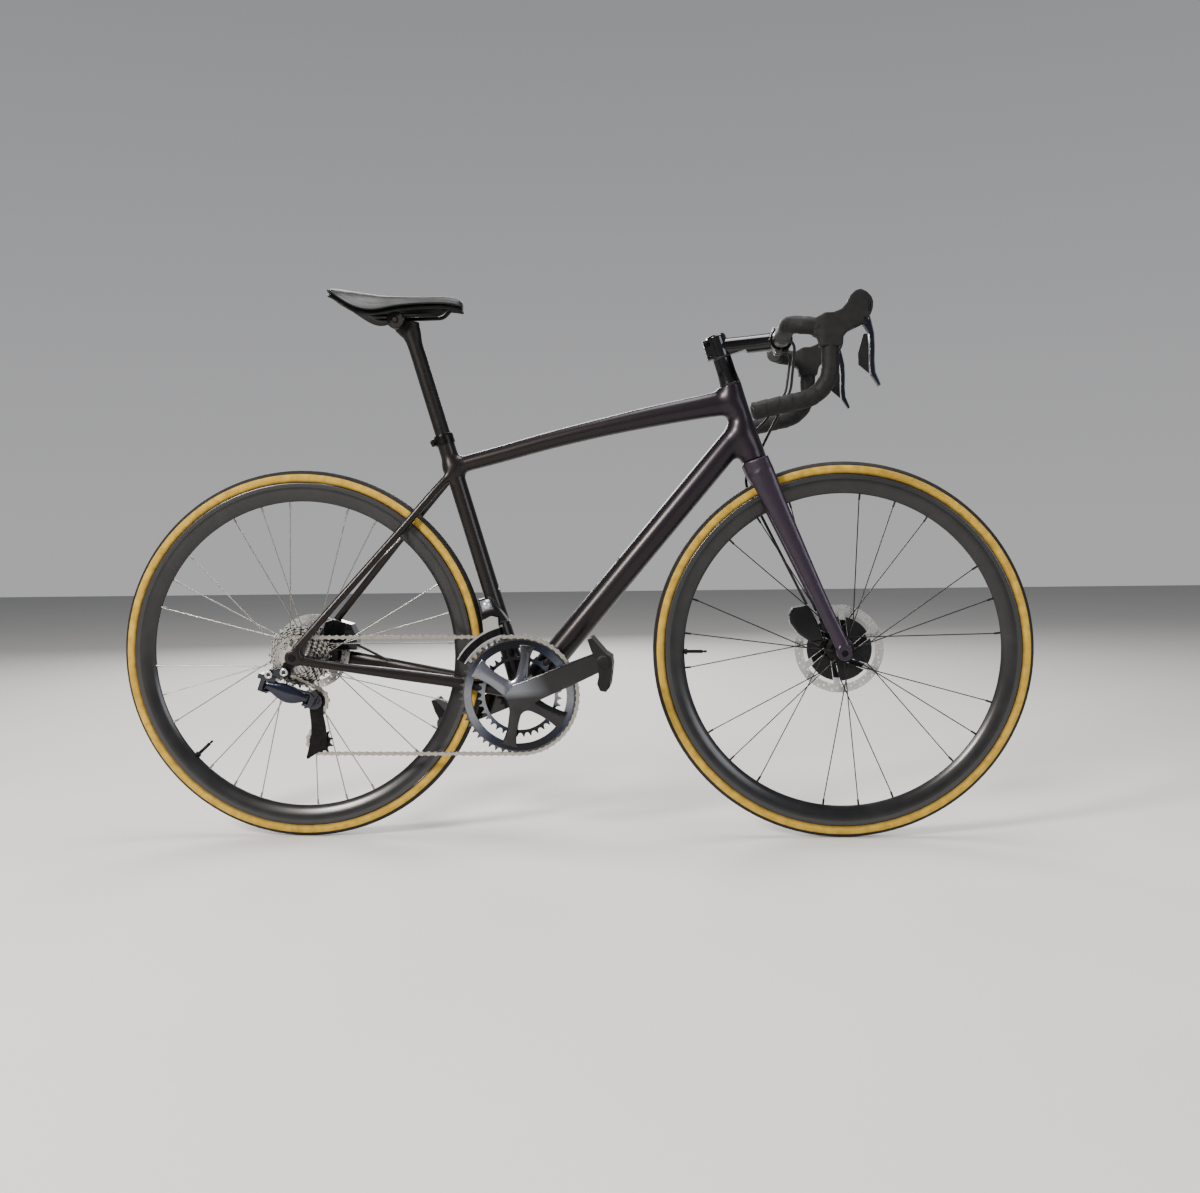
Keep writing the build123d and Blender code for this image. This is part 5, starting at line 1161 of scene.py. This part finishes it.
# ---- finishes of the CAD pieces
finishes = {
    "chain": chain_steel, "cassette": cog_steel, "chainring_big": ring_paint, "chainring_small": ring_paint,
    "front_rotor": front_disc, "rear_rotor": rear_disc, "front_spokes": dark_steel, "rear_spokes": silver_spoke,
    "front_hub": black_alloy, "rear_hub": black_alloy, "front_axle": black_alloy,
    "rear_axle_and_hanger": black_alloy, "frame_bearings": black_alloy, "bottle_bosses": steel,
    "pedal_spindles": steel, "saddle_rails": black_alloy,
    "guide_pulley": plastic, "tension_pulley": plastic, "derailleur_cage": black_alloy,
    "front_derailleur_cage": cage_paint,
    "handlebar": black_alloy,
}
for name, material in finishes.items():
    data = nodes[name].data
    data.materials.clear()
    data.materials.append(material)


# ---- floor, light and camera
def stage_material(name, colour):
    p = Paint(name, 0.85)
    p.colour(p.ramp(p.noise(1.5, 4.0), (0.3, tuple(c * 0.97 for c in colour)), (0.7, colour)))
    return p.material


FLOOR_REACH = 9
floor_corners = [(x * FLOOR_REACH, y * FLOOR_REACH, 0) for x, y in ((-1, -1), (1, -1), (1, 1), (-1, 1))]
floor = bpy.data.objects.new("floor", mesh_from("floor", floor_corners, [(0, 1, 2, 3)]))
add_to_scene(floor)
floor.data.materials.append(stage_material("pale_floor", (0.62, 0.61, 0.59)))

world = bpy.data.worlds.new("studio")
world.use_nodes = True
sky = world.node_tree
height = sky.nodes.new("ShaderNodeSeparateXYZ")
sky.links.new(sky.nodes.new("ShaderNodeTexCoord").outputs["Generated"], height.inputs[0])
fade = sky.nodes.new("ShaderNodeValToRGB")
fade.color_ramp.elements[0].position = 0.0
fade.color_ramp.elements[0].color = (0.50, 0.50, 0.51, 1.0)
fade.color_ramp.elements[1].position = 0.75
fade.color_ramp.elements[1].color = (0.16, 0.17, 0.19, 1.0)
sky.links.new(height.outputs[2], fade.inputs[0])
sky.links.new(fade.outputs[0], sky.nodes["Background"].inputs["Color"])
sky.nodes["Background"].inputs["Strength"].default_value = 0.9
bpy.context.scene.world = world


def soft_light(name, spot, target, size, power, colour):
    lamp = bpy.data.lights.new(name, "AREA")
    lamp.shape = "DISK"
    lamp.size = size
    lamp.energy = power
    lamp.color = colour
    holder = bpy.data.objects.new(name, lamp)
    holder.location = spot
    holder.rotation_mode = "QUATERNION"
    holder.rotation_quaternion = (Vector(target) - Vector(spot)).to_track_quat("-Z", "Y")
    add_to_scene(holder)


soft_light("key_light", (-2.4, -3.0, 2.6), (0, 0, 0.5), 1.1, 330.0, (1.0, 0.94, 0.86))
soft_light("fill_light", (3.0, -2.6, 1.6), (0, 0, 0.5), 1.8, 60.0, (0.92, 0.95, 1.0))
soft_light("top_light", (0.3, 0.2, 3.4), (0, 0, 0.5), 2.0, 120.0, (1.0, 0.99, 0.97))
soft_light("back_light", (-0.8, 3.4, 2.0), (0, 0, 0.5), 2.0, 110.0, (1.0, 1.0, 1.0))

yaw, pitch, roll = -0.070723, -0.053662, -0.013675
ahead = Vector((math.sin(yaw) * math.cos(pitch), math.cos(yaw) * math.cos(pitch), math.sin(pitch)))
level = Vector((math.cos(yaw), -math.sin(yaw), 0.0))
above = level.cross(ahead)
right = level * math.cos(roll) + above * math.sin(roll)
over = above * math.cos(roll) - level * math.sin(roll)
lens = bpy.data.cameras.new("camera")
lens.sensor_width = 36.0
lens.lens = 36.0 * 1303.44 / 1200.0
lens.clip_start = 0.05
lens.clip_end = 60.0
camera = bpy.data.objects.new("camera", lens)
turn = Matrix((right, over, -ahead)).transposed()
camera.matrix_world = Matrix.Translation((0.2240, -2.3466, 0.5642)) @ turn.to_4x4()
add_to_scene(camera)
bpy.context.scene.camera = camera
